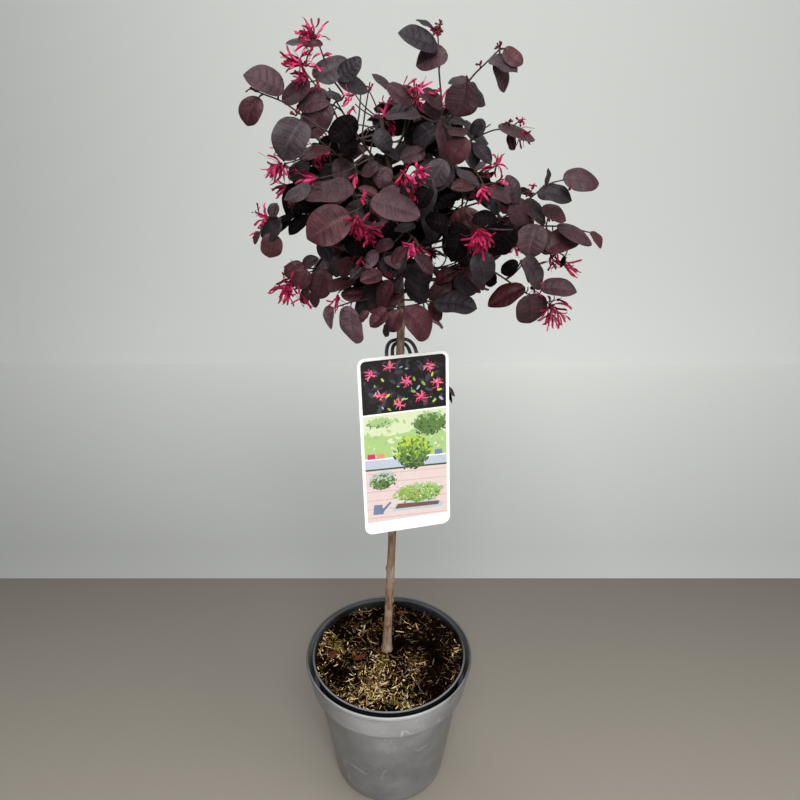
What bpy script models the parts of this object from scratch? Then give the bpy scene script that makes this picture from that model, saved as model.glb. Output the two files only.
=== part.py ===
"""Potted Chinese fringe flower: a small standard tree, in a grower's pot inside an outer pot.

Metres, +Z up. The origin is the centre of the outer pot's flat underside, and the front faces -Y.
"""

import math

import bmesh
import bpy
from mathutils import Matrix, Vector, noise
from mathutils.geometry import intersect_point_line

# Clearance between neighbouring pieces
GAP = 0.0003

# Outer pot
POT_HEIGHT = 0.190
POT_RIM_RADIUS = 0.100
POT_BAND_HEIGHT = 0.040
POT_BAND_LOW_RADIUS = 0.0945
POT_NECK_RADIUS = 0.0885
POT_BASE_RADIUS = 0.067
POT_WALL = 0.0025
POT_FLOOR = 0.004
POT_FOOT_ROUND = 0.005
POT_SIDES = 28

# Grower's pot, pushed a little to the back of the outer pot
INNER_SHIFT = 0.0015
INNER_TOP = 0.188
INNER_LIP_RADIUS = 0.0940
INNER_LIP_HEIGHT = 0.005
INNER_NECK_RADIUS = 0.088
INNER_BASE_RADIUS = 0.060
INNER_WALL = 0.0015

# Soil, flat round the trunk's foot and rough beyond
SOIL_LEVEL = 0.1797
SOIL_EDGE_DROP = 0.004
SOIL_ROUGHNESS = 0.0025
SOIL_FLAT_RADIUS = 0.026
SOIL_ROUGH_RADIUS = 0.045
SOIL_RINGS = 5

# Trunk: places along its axis, from its cut at the soil to its tip
TRUNK_PLACES = (
    (-0.0030, 0.0150, SOIL_LEVEL + GAP),
    (0.0065, 0.0100, 0.400),
    (0.0140, 0.0045, 0.600),
    (0.0137, 0.0040, 0.660),
    (0.0095, 0.0015, 0.735),
    (-0.0030, -0.0040, 0.817),
)
TRUNK_FOOT_RADIUS = 0.0048
TRUNK_FORK_RADIUS = 0.0038
TRUNK_FORK_HEIGHT = 0.650
TRUNK_TIP_RADIUS = 0.0020
TRUNK_FLARE = 0.55
TRUNK_FLARE_HEIGHT = 0.012
TRUNK_STEPS = 3
TRUNK_SIDES = 8

# Boughs
BOUGH_TIP_RADIUS = 0.0013
BOUGH_FORK_ANGLE = math.radians(45)
BOUGH_FORK_SHARE = 0.4
BOUGH_STEPS = 4
BOUGH_SIDES = 5
BOUGH_ENTRY = 0.72

# Foliage
LUMP_DETAIL = 3
LUMP_UNEVENNESS = 0.30
LUMP_GRAIN = 1.35

# Each mass of foliage: centre, half sizes, height at which its bough leaves the trunk, bough radius
MASSES = {
    "top_left": ((-0.060, 0.020, 0.859), (0.042, 0.032, 0.032), 0.762, 0.0023),
    "left_high": ((-0.088, -0.030, 0.827), (0.034, 0.030, 0.034), 0.741, 0.0022),
    "left_mid": ((-0.085, 0.030, 0.763), (0.038, 0.036, 0.030), 0.718, 0.0024),
    "left_wing": ((-0.082, -0.024, 0.723), (0.040, 0.034, 0.030), 0.693, 0.0024),
    "left_low": ((-0.075, 0.012, 0.664), (0.040, 0.036, 0.034), 0.664, 0.0024),
    "front_low": ((0.014, -0.046, 0.652), (0.052, 0.032, 0.031), 0.646, 0.0020),
    "right_foot": ((0.061, 0.022, 0.653), (0.032, 0.034, 0.034), 0.654, 0.0022),
    "right_low": ((0.130, -0.022, 0.658), (0.046, 0.032, 0.034), 0.672, 0.0027),
    "right_mid": ((0.164, 0.012, 0.701), (0.042, 0.032, 0.030), 0.690, 0.0026),
    "right_wing": ((0.154, -0.012, 0.758), (0.042, 0.030, 0.024), 0.706, 0.0024),
    "right_inner": ((0.097, -0.024, 0.755), (0.036, 0.034, 0.034), 0.724, 0.0022),
    "right_high": ((0.103, 0.025, 0.799), (0.034, 0.030, 0.024), 0.745, 0.0021),
    "top_right": ((0.081, -0.020, 0.848), (0.036, 0.032, 0.036), 0.760, 0.0022),
    "top_centre": ((0.032, 0.012, 0.863), (0.025, 0.026, 0.032), 0.778, 0.0020),
    "crown_top": ((-0.008, -0.012, 0.837), (0.036, 0.036, 0.030), 0.817, 0.0020),
    "front_mid": ((0.008, -0.074, 0.752), (0.052, 0.042, 0.050), 0.702, 0.0026),
    "front_right": ((0.072, -0.070, 0.722), (0.042, 0.040, 0.040), 0.681, 0.0024),
    "front_left": ((-0.046, -0.066, 0.700), (0.036, 0.038, 0.038), 0.676, 0.0022),
    "back_left": ((-0.052, 0.078, 0.752), (0.048, 0.046, 0.046), 0.708, 0.0025),
    "back_mid": ((0.028, 0.094, 0.795), (0.048, 0.044, 0.050), 0.732, 0.0025),
    "back_right": ((0.092, 0.078, 0.735), (0.048, 0.044, 0.044), 0.699, 0.0025),
    "back_low": ((0.018, 0.078, 0.680), (0.050, 0.044, 0.038), 0.668, 0.0025),
}
TRUNK_MASS = "crown_top"

# Hang tag: a stiff card on a clip round the trunk
TAG_WIDTH = 0.094
TAG_HEIGHT = 0.197
TAG_THICKNESS = 0.0008
TAG_CORNER = 0.0055
TAG_CORNER_STEPS = 3
TAG_CENTRE = (0.0197, -0.0165, 0.4954)
TAG_TURN = math.radians(14.3)
TAG_LEAN = math.radians(-6.9)

# Clip: an outer and an inner arch that pass behind the trunk and join behind the card
CLIP_SHIFT = -0.0010
CLIP_OUTER_HALF_WIDTH = 0.0150
CLIP_INNER_HALF_WIDTH = 0.0105
CLIP_OUTER_RISE = 0.0260
CLIP_INNER_RISE = 0.0215
CLIP_FOOT_DROP = 0.0100
CLIP_STRIP = 0.0022
CLIP_BACK = 0.0142
CLIP_STEPS = 10

# Colours and finish: base colour, roughness, metallic
FINISHES = {
    "pot_grey": ((0.150, 0.155, 0.165), 0.45, 0.0),
    "pot_black": ((0.012, 0.012, 0.013), 0.35, 0.0),
    "soil": ((0.045, 0.026, 0.015), 0.95, 0.0),
    "bark": ((0.180, 0.120, 0.085), 0.80, 0.0),
    "foliage": ((0.055, 0.022, 0.030), 0.50, 0.0),
    "card": ((0.800, 0.800, 0.800), 0.40, 0.0),
    "clip_black": ((0.012, 0.012, 0.012), 0.40, 0.0),
}


def clear_scene():
    """Remove every object, so that the model starts empty."""
    for thing in list(bpy.data.objects):
        bpy.data.objects.remove(thing, do_unlink=True)


def finish(name):
    """The named finish as a material."""
    material = bpy.data.materials.get(name)
    if material is None:
        colour, roughness, metallic = FINISHES[name]
        material = bpy.data.materials.new(name)
        material.use_nodes = True
        shader = material.node_tree.nodes["Principled BSDF"]
        shader.inputs["Base Color"].default_value = (*colour, 1.0)
        shader.inputs["Roughness"].default_value = roughness
        shader.inputs["Metallic"].default_value = metallic
    return material


def add_object(name, mesh_maker, finish_name, parent, sharp_angle=math.radians(40)):
    """One named object of one closed mesh, shaded smooth up to the sharp angle."""
    bmesh.ops.recalc_face_normals(mesh_maker, faces=mesh_maker.faces)
    mesh = bpy.data.meshes.new(name)
    mesh_maker.to_mesh(mesh)
    mesh_maker.free()
    mesh.shade_smooth()
    mesh.set_sharp_from_angle(angle=sharp_angle)
    mesh.materials.append(finish(finish_name))
    thing = bpy.data.objects.new(name, mesh)
    bpy.context.collection.objects.link(thing)
    thing.parent = parent
    return thing


def bridge_ring_pair(maker, lower, upper):
    """Quads between two rings of as many corners."""
    count = len(lower)
    for i in range(count):
        j = (i + 1) % count
        maker.faces.new((lower[i], lower[j], upper[j], upper[i]))


def fan(maker, ring, centre):
    """Triangles from a ring to one corner."""
    for i in range(len(ring)):
        maker.faces.new((ring[i], ring[(i + 1) % len(ring)], centre))


def turned(profile, sides, shift_y=0.0):
    """A solid turned about the vertical axis: its profile starts and ends on the axis."""
    maker = bmesh.new()
    first = maker.verts.new((0.0, shift_y, profile[0][1]))
    last = maker.verts.new((0.0, shift_y, profile[-1][1]))
    rings = []
    for radius, height in profile[1:-1]:
        angles = [2 * math.pi * i / sides for i in range(sides)]
        rings.append([
            maker.verts.new((radius * math.cos(a), shift_y + radius * math.sin(a), height))
            for a in angles
        ])
    fan(maker, rings[0], first)
    for lower, upper in zip(rings, rings[1:]):
        bridge_ring_pair(maker, lower, upper)
    fan(maker, rings[-1], last)
    return maker


def smooth_path(places, steps):
    """Points on a Catmull-Rom curve through the places, with so many steps between two of them."""
    knots = [Vector(place) for place in places]
    knots = [2 * knots[0] - knots[1]] + knots + [2 * knots[-1] - knots[-2]]
    path = []
    for a, b, c, d in zip(knots, knots[1:], knots[2:], knots[3:]):
        for step in range(steps):
            t = step / steps
            path.append(0.5 * (2 * b + (c - a) * t + (2 * a - 5 * b + 4 * c - d) * t * t
                               + (3 * b - a - 3 * c + d) * t ** 3))
    path.append(knots[-2].copy())
    return path


def tube(path, radii, sides, first_normal=None):
    """A tapering limb along a path, with flat ends."""
    maker = bmesh.new()
    rings = []
    across = Vector((1.0, 0.0, 0.0))
    for i, (point, radius) in enumerate(zip(path, radii)):
        ahead = path[min(i + 1, len(path) - 1)] - path[max(i - 1, 0)]
        normal = ahead.normalized()
        if i == 0 and first_normal is not None:
            normal = first_normal
        if abs(across.dot(normal)) > 0.95:
            across = Vector((0.0, 1.0, 0.0))
        across = (across - normal * across.dot(normal)).normalized()
        beside = normal.cross(across)
        rings.append([
            maker.verts.new(point + radius * (math.cos(a) * across + math.sin(a) * beside))
            for a in (2 * math.pi * k / sides for k in range(sides))
        ])
    maker.faces.new(rings[0])
    for lower, upper in zip(rings, rings[1:]):
        bridge_ring_pair(maker, lower, upper)
    maker.faces.new(rings[-1])
    return maker


def outer_pot_profile():
    """The outer pot's section: underside, wall, stepped rim band, and the inside down to its floor."""
    band_low = POT_HEIGHT - POT_BAND_HEIGHT
    edge = POT_WALL / 3
    return [
        (0.0, 0.0),
        (POT_BASE_RADIUS - POT_FOOT_ROUND, 0.0),
        (POT_BASE_RADIUS, POT_FOOT_ROUND),
        (POT_NECK_RADIUS, band_low),
        (POT_BAND_LOW_RADIUS, band_low + edge),
        (POT_RIM_RADIUS, POT_HEIGHT - edge),
        (POT_RIM_RADIUS - edge, POT_HEIGHT),
        (POT_RIM_RADIUS - POT_WALL, POT_HEIGHT),
        (POT_BAND_LOW_RADIUS - POT_WALL, band_low + POT_WALL),
        (POT_NECK_RADIUS - POT_WALL, band_low - edge),
        (POT_BASE_RADIUS - POT_WALL, POT_FLOOR + POT_FOOT_ROUND),
        (POT_BASE_RADIUS - POT_FOOT_ROUND / 2 - POT_WALL / 2, POT_FLOOR),
        (0.0, POT_FLOOR),
    ]


def grower_pot_profile():
    """The grower's pot's section: underside, wall, lip, and the inside down to its floor."""
    floor = POT_FLOOR + GAP
    lip_low = INNER_TOP - INNER_LIP_HEIGHT
    return [
        (0.0, floor),
        (INNER_BASE_RADIUS - INNER_WALL, floor),
        (INNER_BASE_RADIUS, floor + INNER_WALL),
        (INNER_NECK_RADIUS, lip_low),
        (INNER_LIP_RADIUS, lip_low),
        (INNER_LIP_RADIUS, INNER_TOP),
        (INNER_LIP_RADIUS - INNER_WALL, INNER_TOP),
        (INNER_NECK_RADIUS - INNER_WALL, lip_low - INNER_WALL),
        (INNER_BASE_RADIUS - INNER_WALL, floor + INNER_WALL),
        (0.0, floor + INNER_WALL),
    ]


def soil_height(x, y):
    """The soil's level at a place: flat round the trunk, lower and rough towards the pot."""
    foot = Vector(TRUNK_PLACES[0])
    away = math.hypot(x - foot.x, y - foot.y)
    fade = (away - SOIL_FLAT_RADIUS) / (SOIL_ROUGH_RADIUS - SOIL_FLAT_RADIUS)
    fade = max(0.0, min(1.0, fade))
    rough = SOIL_ROUGHNESS * noise.noise(Vector((x, y, 0.0)) * 60.0)
    return SOIL_LEVEL + fade * (rough - SOIL_EDGE_DROP * away / INNER_NECK_RADIUS)


def soil_block():
    """The block of soil that fills the grower's pot."""
    clearance = 2 * GAP
    bottom = POT_FLOOR + GAP + INNER_WALL + GAP
    rise = (INNER_NECK_RADIUS - INNER_BASE_RADIUS) / (INNER_TOP - INNER_LIP_HEIGHT - bottom)
    top_radius = INNER_BASE_RADIUS - INNER_WALL - clearance + rise * (SOIL_LEVEL - SOIL_EDGE_DROP - bottom)
    profile = [(0.0, bottom), (INNER_BASE_RADIUS - INNER_WALL - clearance - GAP, bottom)]
    for ring in range(SOIL_RINGS):
        profile.append((top_radius * (1 - ring / SOIL_RINGS), SOIL_LEVEL - SOIL_EDGE_DROP))
    profile.append((0.0, SOIL_LEVEL))
    maker = turned(profile, POT_SIDES, INNER_SHIFT)
    for vert in maker.verts:
        if vert.co.z > SOIL_LEVEL / 2:
            vert.co.z = soil_height(vert.co.x, vert.co.y)
    return maker


def trunk_radius(height):
    """The trunk's radius at a height: a slow taper to the fork, a quicker one above, a flare at the foot."""
    low = TRUNK_PLACES[0][2]
    high = TRUNK_PLACES[-1][2]
    if height < TRUNK_FORK_HEIGHT:
        along = (height - low) / (TRUNK_FORK_HEIGHT - low)
        taper = TRUNK_FOOT_RADIUS + (TRUNK_FORK_RADIUS - TRUNK_FOOT_RADIUS) * along
    else:
        along = (height - TRUNK_FORK_HEIGHT) / (high - TRUNK_FORK_HEIGHT)
        taper = TRUNK_FORK_RADIUS + (TRUNK_TIP_RADIUS - TRUNK_FORK_RADIUS) * along
    flare = TRUNK_FLARE * math.exp(-(height - low) / TRUNK_FLARE_HEIGHT)
    return taper * (1 + flare)


def trunk_path():
    """Points on the trunk's axis, with some more at the flare."""
    path = smooth_path(TRUNK_PLACES, TRUNK_STEPS)
    foot = path[0]
    flare = [foot.lerp(path[1], share) for share in (0.12, 0.35)]
    return [foot] + flare + path[1:]


def trunk_at(path, height):
    """The point of the trunk's axis at a height."""
    for low, high in zip(path, path[1:]):
        if low.z <= height <= high.z:
            return low.lerp(high, (height - low.z) / (high.z - low.z))
    return path[-1].copy()


def bough_path(trunk, centre, half_sizes, height, radius):
    """A curving limb from the trunk's bark to where it enters its mass of foliage."""
    start = trunk_at(trunk, height)
    chord = centre - start
    level = Vector((chord.x, chord.y, 0.0))
    climb = math.atan2(chord.z, level.length)
    climb += BOUGH_FORK_SHARE * (BOUGH_FORK_ANGLE - climb)
    heading = level.normalized() * math.cos(climb) + Vector((0.0, 0.0, math.sin(climb)))
    grain = trunk_at(trunk, height + TRUNK_TIP_RADIUS) - trunk_at(trunk, height - TRUNK_TIP_RADIUS)
    grain.normalize()
    bark = trunk_radius(height) + 1.5 * GAP + radius * abs(heading.dot(grain))
    start = start + heading * (bark / heading.cross(grain).length)
    middle = start + heading * (0.5 * chord.length)
    arrival = (centre - middle).normalized()
    share = math.sqrt(sum((arrival[k] / half_sizes[k]) ** 2 for k in range(3)))
    end = centre - arrival * (BOUGH_ENTRY / share)
    middle = end - arrival * (0.5 * (end - start).length)
    points = []
    for step in range(BOUGH_STEPS + 1):
        t = step / BOUGH_STEPS
        points.append(start * (1 - t) ** 2 + middle * (2 * t * (1 - t)) + end * t * t)
    return points


def bough_radii(radius):
    """The radii along a bough, from its collar to its tip."""
    return [radius + (BOUGH_TIP_RADIUS - radius) * step / BOUGH_STEPS for step in range(BOUGH_STEPS + 1)]


def support(half_sizes, direction):
    """How far an ellipsoid of these half sizes reaches along a direction."""
    return math.sqrt(sum((half_sizes[k] * direction[k]) ** 2 for k in range(3)))


def neighbour_walls(name, centre, half_sizes):
    """Flat walls between a mass and its neighbours, as directions and distances from its centre."""
    walls = []
    for other, (place, sizes, _, _) in MASSES.items():
        if other == name:
            continue
        between = Vector(place) - centre
        toward = between.normalized()
        own = support(half_sizes, toward)
        theirs = support(sizes, toward)
        if own + theirs > between.length - GAP:
            walls.append((toward, between.length * own / (own + theirs) - GAP))
    return walls


def limb_walls(centre, reach, path, radii, clearance):
    """Flat walls between a mass and a limb that passes near it."""
    walls = []
    for low, high, radius in zip(path, path[1:], radii):
        nearest, share = intersect_point_line(centre, low, high)
        nearest = low.lerp(high, max(0.0, min(1.0, share)))
        away = nearest - centre
        if away.length < reach + radius:
            walls.append((away.normalized(), away.length - radius - clearance))
    return walls


def foliage_lump(centre, half_sizes, walls):
    """An uneven closed lump: an ellipsoid with soft dents, cut flat where a wall stands."""
    maker = bmesh.new()
    bmesh.ops.create_icosphere(maker, subdivisions=LUMP_DETAIL, radius=1.0)
    size = sum(half_sizes) / 3
    for vert in maker.verts:
        direction = vert.co.normalized()
        ellipsoid = 1 / math.sqrt(sum((direction[k] / half_sizes[k]) ** 2 for k in range(3)))
        place = direction * LUMP_GRAIN + centre / size
        dent = 0.5 + 0.5 * noise.noise(place) + 0.35 * noise.noise(place * 2.3)
        distance = ellipsoid * (1 - LUMP_UNEVENNESS * max(0.0, min(1.0, dent)))
        for toward, limit in walls:
            facing = direction.dot(toward)
            if facing > 0:
                distance = min(distance, limit / facing)
        vert.co = centre + direction * distance
    return maker


def tag_frame():
    """The tag's own frame: across, back and up the card."""
    turn = Matrix.Rotation(TAG_TURN, 4, "Z")
    lean = Matrix.Rotation(TAG_LEAN, 4, "X")
    return Matrix.Translation(TAG_CENTRE) @ turn @ lean


def tag_card():
    """The card, with rounded corners, in its own frame."""
    maker = bmesh.new()
    outline = []
    corners = ((1, 1, 0.0), (-1, 1, 90.0), (-1, -1, 180.0), (1, -1, 270.0))
    for side, end, first in corners:
        for step in range(TAG_CORNER_STEPS + 1):
            angle = math.radians(first + 90.0 * step / TAG_CORNER_STEPS)
            outline.append((side * (TAG_WIDTH / 2 - TAG_CORNER) + TAG_CORNER * math.cos(angle),
                            end * (TAG_HEIGHT / 2 - TAG_CORNER) + TAG_CORNER * math.sin(angle)))
    faces = []
    for depth in (0.0, TAG_THICKNESS):
        faces.append([maker.verts.new((x, depth, z)) for x, z in outline])
        maker.faces.new(faces[-1])
    bridge_ring_pair(maker, faces[0], faces[1])
    bmesh.ops.transform(maker, matrix=tag_frame(), verts=maker.verts)
    return maker


def clip_path():
    """The clip's closed loop in the card's frame: up the outer arch and back under the inner one."""
    top = TAG_HEIGHT / 2
    foot = top - CLIP_FOOT_DROP
    front = TAG_THICKNESS + GAP + CLIP_STRIP / 2
    loop = []
    for half_width, rise, first, last in (
        (CLIP_OUTER_HALF_WIDTH, CLIP_OUTER_RISE, 0.0, math.pi),
        (CLIP_INNER_HALF_WIDTH, CLIP_INNER_RISE, math.pi, 0.0),
    ):
        for step in range(CLIP_STEPS + 1):
            angle = first + (last - first) * step / CLIP_STEPS
            lift = math.sin(angle)
            back = front + (CLIP_BACK - front) * lift
            loop.append(Vector((CLIP_SHIFT + half_width * math.cos(angle), back, foot + rise * lift)))
    return loop


def clip_ring():
    """The clip: a square strip bent along its closed loop."""
    maker = bmesh.new()
    loop = clip_path()
    count = len(loop)
    half = CLIP_STRIP / 2
    rings = []
    for i, point in enumerate(loop):
        ahead = (loop[(i + 1) % count] - loop[i - 1]).normalized()
        back = Vector((0.0, 1.0, 0.0))
        back = (back - ahead * back.dot(ahead)).normalized()
        beside = ahead.cross(back)
        rings.append([
            maker.verts.new(point + half * (u * back + v * beside))
            for u, v in ((1, 1), (-1, 1), (-1, -1), (1, -1))
        ])
    for i in range(count):
        bridge_ring_pair(maker, rings[i], rings[(i + 1) % count])
    bmesh.ops.transform(maker, matrix=tag_frame(), verts=maker.verts)
    return maker


def build():
    """Build the pots, the soil, the trunk, each bough with its foliage, and the tag."""
    clear_scene()
    plant = bpy.data.objects.new("potted_fringe_flower", None)
    bpy.context.collection.objects.link(plant)

    add_object("outer_pot", turned(outer_pot_profile(), POT_SIDES), "pot_grey", plant)
    add_object("grower_pot", turned(grower_pot_profile(), POT_SIDES, INNER_SHIFT), "pot_black", plant)
    add_object("soil", soil_block(), "soil", plant)

    trunk = trunk_path()
    trunk_radii = [trunk_radius(point.z) for point in trunk]
    add_object("trunk", tube(trunk, trunk_radii, TRUNK_SIDES, Vector((0.0, 0.0, 1.0))), "bark", plant)

    boughs = {}
    for name, (place, half_sizes, height, radius) in MASSES.items():
        if name != TRUNK_MASS:
            boughs[name] = bough_path(trunk, Vector(place), half_sizes, height, radius)
            add_object("bough_" + name, tube(boughs[name], bough_radii(radius), BOUGH_SIDES), "bark", plant)

    for name, (place, half_sizes, _, _) in MASSES.items():
        centre = Vector(place)
        reach = max(half_sizes)
        walls = neighbour_walls(name, centre, half_sizes)
        limb = boughs.get(name, trunk)
        ahead = (limb[-1] - limb[-2]).normalized()
        walls.append((-ahead, (centre - limb[-1]).dot(ahead) - GAP))
        walls += limb_walls(centre, reach, trunk[:-1], trunk_radii, 2 * GAP)
        for other, path in boughs.items():
            near = path[:-1] if other == name else path
            walls += limb_walls(centre, reach, near, bough_radii(MASSES[other][3]), 2 * GAP)
        add_object("leaves_" + name, foliage_lump(centre, half_sizes, walls), "foliage", plant,
                   sharp_angle=math.radians(60))

    add_object("hang_tag", tag_card(), "card", plant)
    add_object("tag_clip", clip_ring(), "clip_black", plant)


build()
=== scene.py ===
"""Looks of a potted Chinese fringe flower: pots, soil, bark, twigs, leaves, blossom and hang tag.

Metres, +Z up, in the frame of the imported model. The front of the plant faces -Y.
"""

import logging
import math
import random
from dataclasses import dataclass, field
from enum import Enum
from typing import Any, Sequence

import bmesh
import bpy
import numpy as np
from mathutils import Matrix, Vector, noise


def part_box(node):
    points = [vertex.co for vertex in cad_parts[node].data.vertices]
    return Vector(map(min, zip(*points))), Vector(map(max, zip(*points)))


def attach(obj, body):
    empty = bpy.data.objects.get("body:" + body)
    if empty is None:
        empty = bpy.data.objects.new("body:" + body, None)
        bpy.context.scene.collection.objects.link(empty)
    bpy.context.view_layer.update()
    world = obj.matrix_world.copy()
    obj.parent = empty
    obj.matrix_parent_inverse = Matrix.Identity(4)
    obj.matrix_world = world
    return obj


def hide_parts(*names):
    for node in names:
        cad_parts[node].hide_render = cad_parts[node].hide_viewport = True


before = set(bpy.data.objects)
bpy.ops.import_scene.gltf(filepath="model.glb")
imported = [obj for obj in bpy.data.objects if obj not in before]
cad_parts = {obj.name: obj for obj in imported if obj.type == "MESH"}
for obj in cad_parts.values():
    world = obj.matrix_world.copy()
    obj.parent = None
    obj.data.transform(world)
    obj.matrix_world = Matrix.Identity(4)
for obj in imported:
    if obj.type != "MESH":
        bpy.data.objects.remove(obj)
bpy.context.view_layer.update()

LOG = logging.getLogger("fringe_flower")
BODY = "root"
UP = Vector((0.0, 0.0, 1.0))
FRONT = Vector((0.0, -1.0, 0.0))
FULL_TURN = 2 * math.pi

Array = np.ndarray
Pair = tuple[float, float]
Triple = tuple[float, float, float]
Colour = Triple
Faces = list[list[int]]
Material = bpy.types.Material
Socket = bpy.types.NodeSocket


def seen(red: int, green: int, blue: int) -> Colour:
    """A colour as seen on a screen, from 0 to 255, as the linear colour that shaders take."""
    return tuple(((c / 255 + 0.055) / 1.055) ** 2.4 if c > 10 else c / 255 / 12.92
                 for c in (red, green, blue))


def scaled(colour: Colour, factor: float, lift: float = 0.0) -> Colour:
    """A colour times a factor, and lifted by an amount."""
    return tuple(factor * c + lift for c in colour)


def mix_numbers(low: float, high: float, share: float) -> float:
    """The number at a share of the way from low to high."""
    return low + (high - low) * share


def scatter(rng: random.Random, across: float = 1.0, deep: float = 1.0, up: float = 1.0) -> Vector:
    """A vector drawn at random with these spreads along X, Y and Z."""
    return Vector([rng.gauss(0.0, spread) for spread in (across, deep, up)])


class Value:
    """A number socket of a shader that can be used in arithmetic."""

    def __init__(self, tree: bpy.types.NodeTree, socket: Socket) -> None:
        """Wraps a number socket of a node tree."""
        self.tree = tree
        self.socket = socket

    def _join(self, operation: str, first: Any, second: Any, clamp: bool = False) -> "Value":
        """Adds a Math node.

        Args:
            operation: The Math node's operation.
            first: A Value or a number.
            second: A Value or a number.
            clamp: Whether the result is kept from 0 to 1.

        Returns:
            The node's result.
        """
        made = self.tree.nodes.new("ShaderNodeMath")
        made.operation = operation
        made.use_clamp = clamp
        for socket, part in zip(made.inputs, (first, second)):
            if isinstance(part, Value):
                self.tree.links.new(part.socket, socket)
            else:
                socket.default_value = part
        return Value(self.tree, made.outputs[0])

    def __add__(self, other: Any) -> "Value":
        """The sum."""
        return self._join("ADD", self, other)

    def __sub__(self, other: Any) -> "Value":
        """The difference."""
        return self._join("SUBTRACT", self, other)

    def __rsub__(self, other: Any) -> "Value":
        """The difference, from the right."""
        return self._join("SUBTRACT", other, self)

    def __mul__(self, other: Any) -> "Value":
        """The product."""
        return self._join("MULTIPLY", self, other)

    __radd__, __rmul__ = __add__, __mul__

    def clamped(self) -> "Value":
        """The number, kept from 0 to 1."""
        return self._join("ADD", self, 0.0, clamp=True)


class Recipe:
    """One material in the making: its node tree and its main shader."""

    def __init__(self, name: str) -> None:
        """Starts a material with a plain Principled shader.

        Args:
            name: The material's name.
        """
        self.material = bpy.data.materials.new(name)
        self.material.use_nodes = True
        self.tree = self.material.node_tree
        self.shader = self.tree.nodes["Principled BSDF"]
        self.coordinates = self.node("ShaderNodeTexCoord").outputs["Object"]

    def feed(self, socket: Socket, source: Any) -> None:
        """Feeds a socket.

        Args:
            socket: The socket.
            source: A Value or a socket to link, or a number, vector or colour to set.
        """
        if isinstance(source, Value):
            source = source.socket
        if isinstance(source, Socket):
            self.tree.links.new(source, socket)
        else:
            socket.default_value = (*source, 1.0) if socket.type == "RGBA" else source

    def node(self, kind: str, settings: dict[str, Any] | None = None,
             sockets: dict[str, Any] | None = None) -> bpy.types.Node:
        """Adds any node.

        Args:
            kind: The node's type.
            settings: Its properties, set first.
            sockets: What feeds its inputs, by their identifiers.

        Returns:
            The node.
        """
        made = self.tree.nodes.new(kind)
        for key, setting in (settings or {}).items():
            setattr(made, key, setting)
        inputs = {socket.identifier: socket for socket in made.inputs}
        for key, source in (sockets or {}).items():
            self.feed(inputs[key], source)
        return made

    def axes(self) -> tuple[Value, Value, Value]:
        """How far across, deep and high a place on the object lies."""
        parts = self.node("ShaderNodeSeparateXYZ", {}, {"Vector": self.coordinates}).outputs
        return tuple(Value(self.tree, parts[axis]) for axis in "XYZ")

    def noise(self, scale: float, detail: float = 3.0, roughness: float = 0.55,
              stretch: Triple = (1.0, 1.0, 1.0)) -> Value:
        """A noise pattern over the object.

        Args:
            scale: How fine it is, in features per metre.
            detail: How many finer layers it has.
            roughness: How strong those are.
            stretch: The scale of each axis.

        Returns:
            The pattern's value, about 0.5 on average.
        """
        place = self.node("ShaderNodeVectorMath", {"operation": "MULTIPLY"}, {
            "Vector": self.coordinates, "Vector_001": stretch}).outputs["Vector"]
        made = self.node("ShaderNodeTexNoise", {}, {
            "Vector": place, "Scale": scale, "Detail": detail, "Roughness": roughness})
        return Value(self.tree, made.outputs["Fac"])

    def between(self, number: Value, low: float, high: float) -> Value:
        """How far a value lies from low to high, from 0 to 1."""
        made = self.node("ShaderNodeMapRange", {}, {"Value": number, "From Min": low, "From Max": high})
        return Value(self.tree, made.outputs["Result"])

    def mixed(self, share: Value, first: Any, second: Any) -> Socket:
        """Mixes two colours.

        Args:
            share: The second's share.
            first: A colour or a socket.
            second: A colour or a socket.

        Returns:
            The mixed colour's socket.
        """
        made = self.node("ShaderNodeMix", {"data_type": "RGBA"}, {
            "Factor_Float": share, "A_Color": first, "B_Color": second})
        return next(s for s in made.outputs if s.identifier == "Result_Color")

    def relief(self, height: Value, depth: float, strength: float) -> None:
        """Roughens the surface by a height pattern of this depth in metres."""
        made = self.node("ShaderNodeBump", {}, {"Height": height, "Distance": depth, "Strength": strength})
        self.feed(self.shader.inputs["Normal"], made.outputs["Normal"])

    def fill(self, colour: Socket, roughness: Any, specular: float = 0.5) -> Material:
        """Feeds the main shader.

        Args:
            colour: Its base colour.
            roughness: Its roughness, a number or a Value.
            specular: How strongly it reflects.

        Returns:
            The finished material.
        """
        inputs = self.shader.inputs
        self.feed(inputs["Base Color"], colour)
        self.feed(inputs["Roughness"], roughness.clamped() if isinstance(roughness, Value) else roughness)
        self.feed(inputs["Specular IOR Level"], specular)
        return self.material


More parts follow.
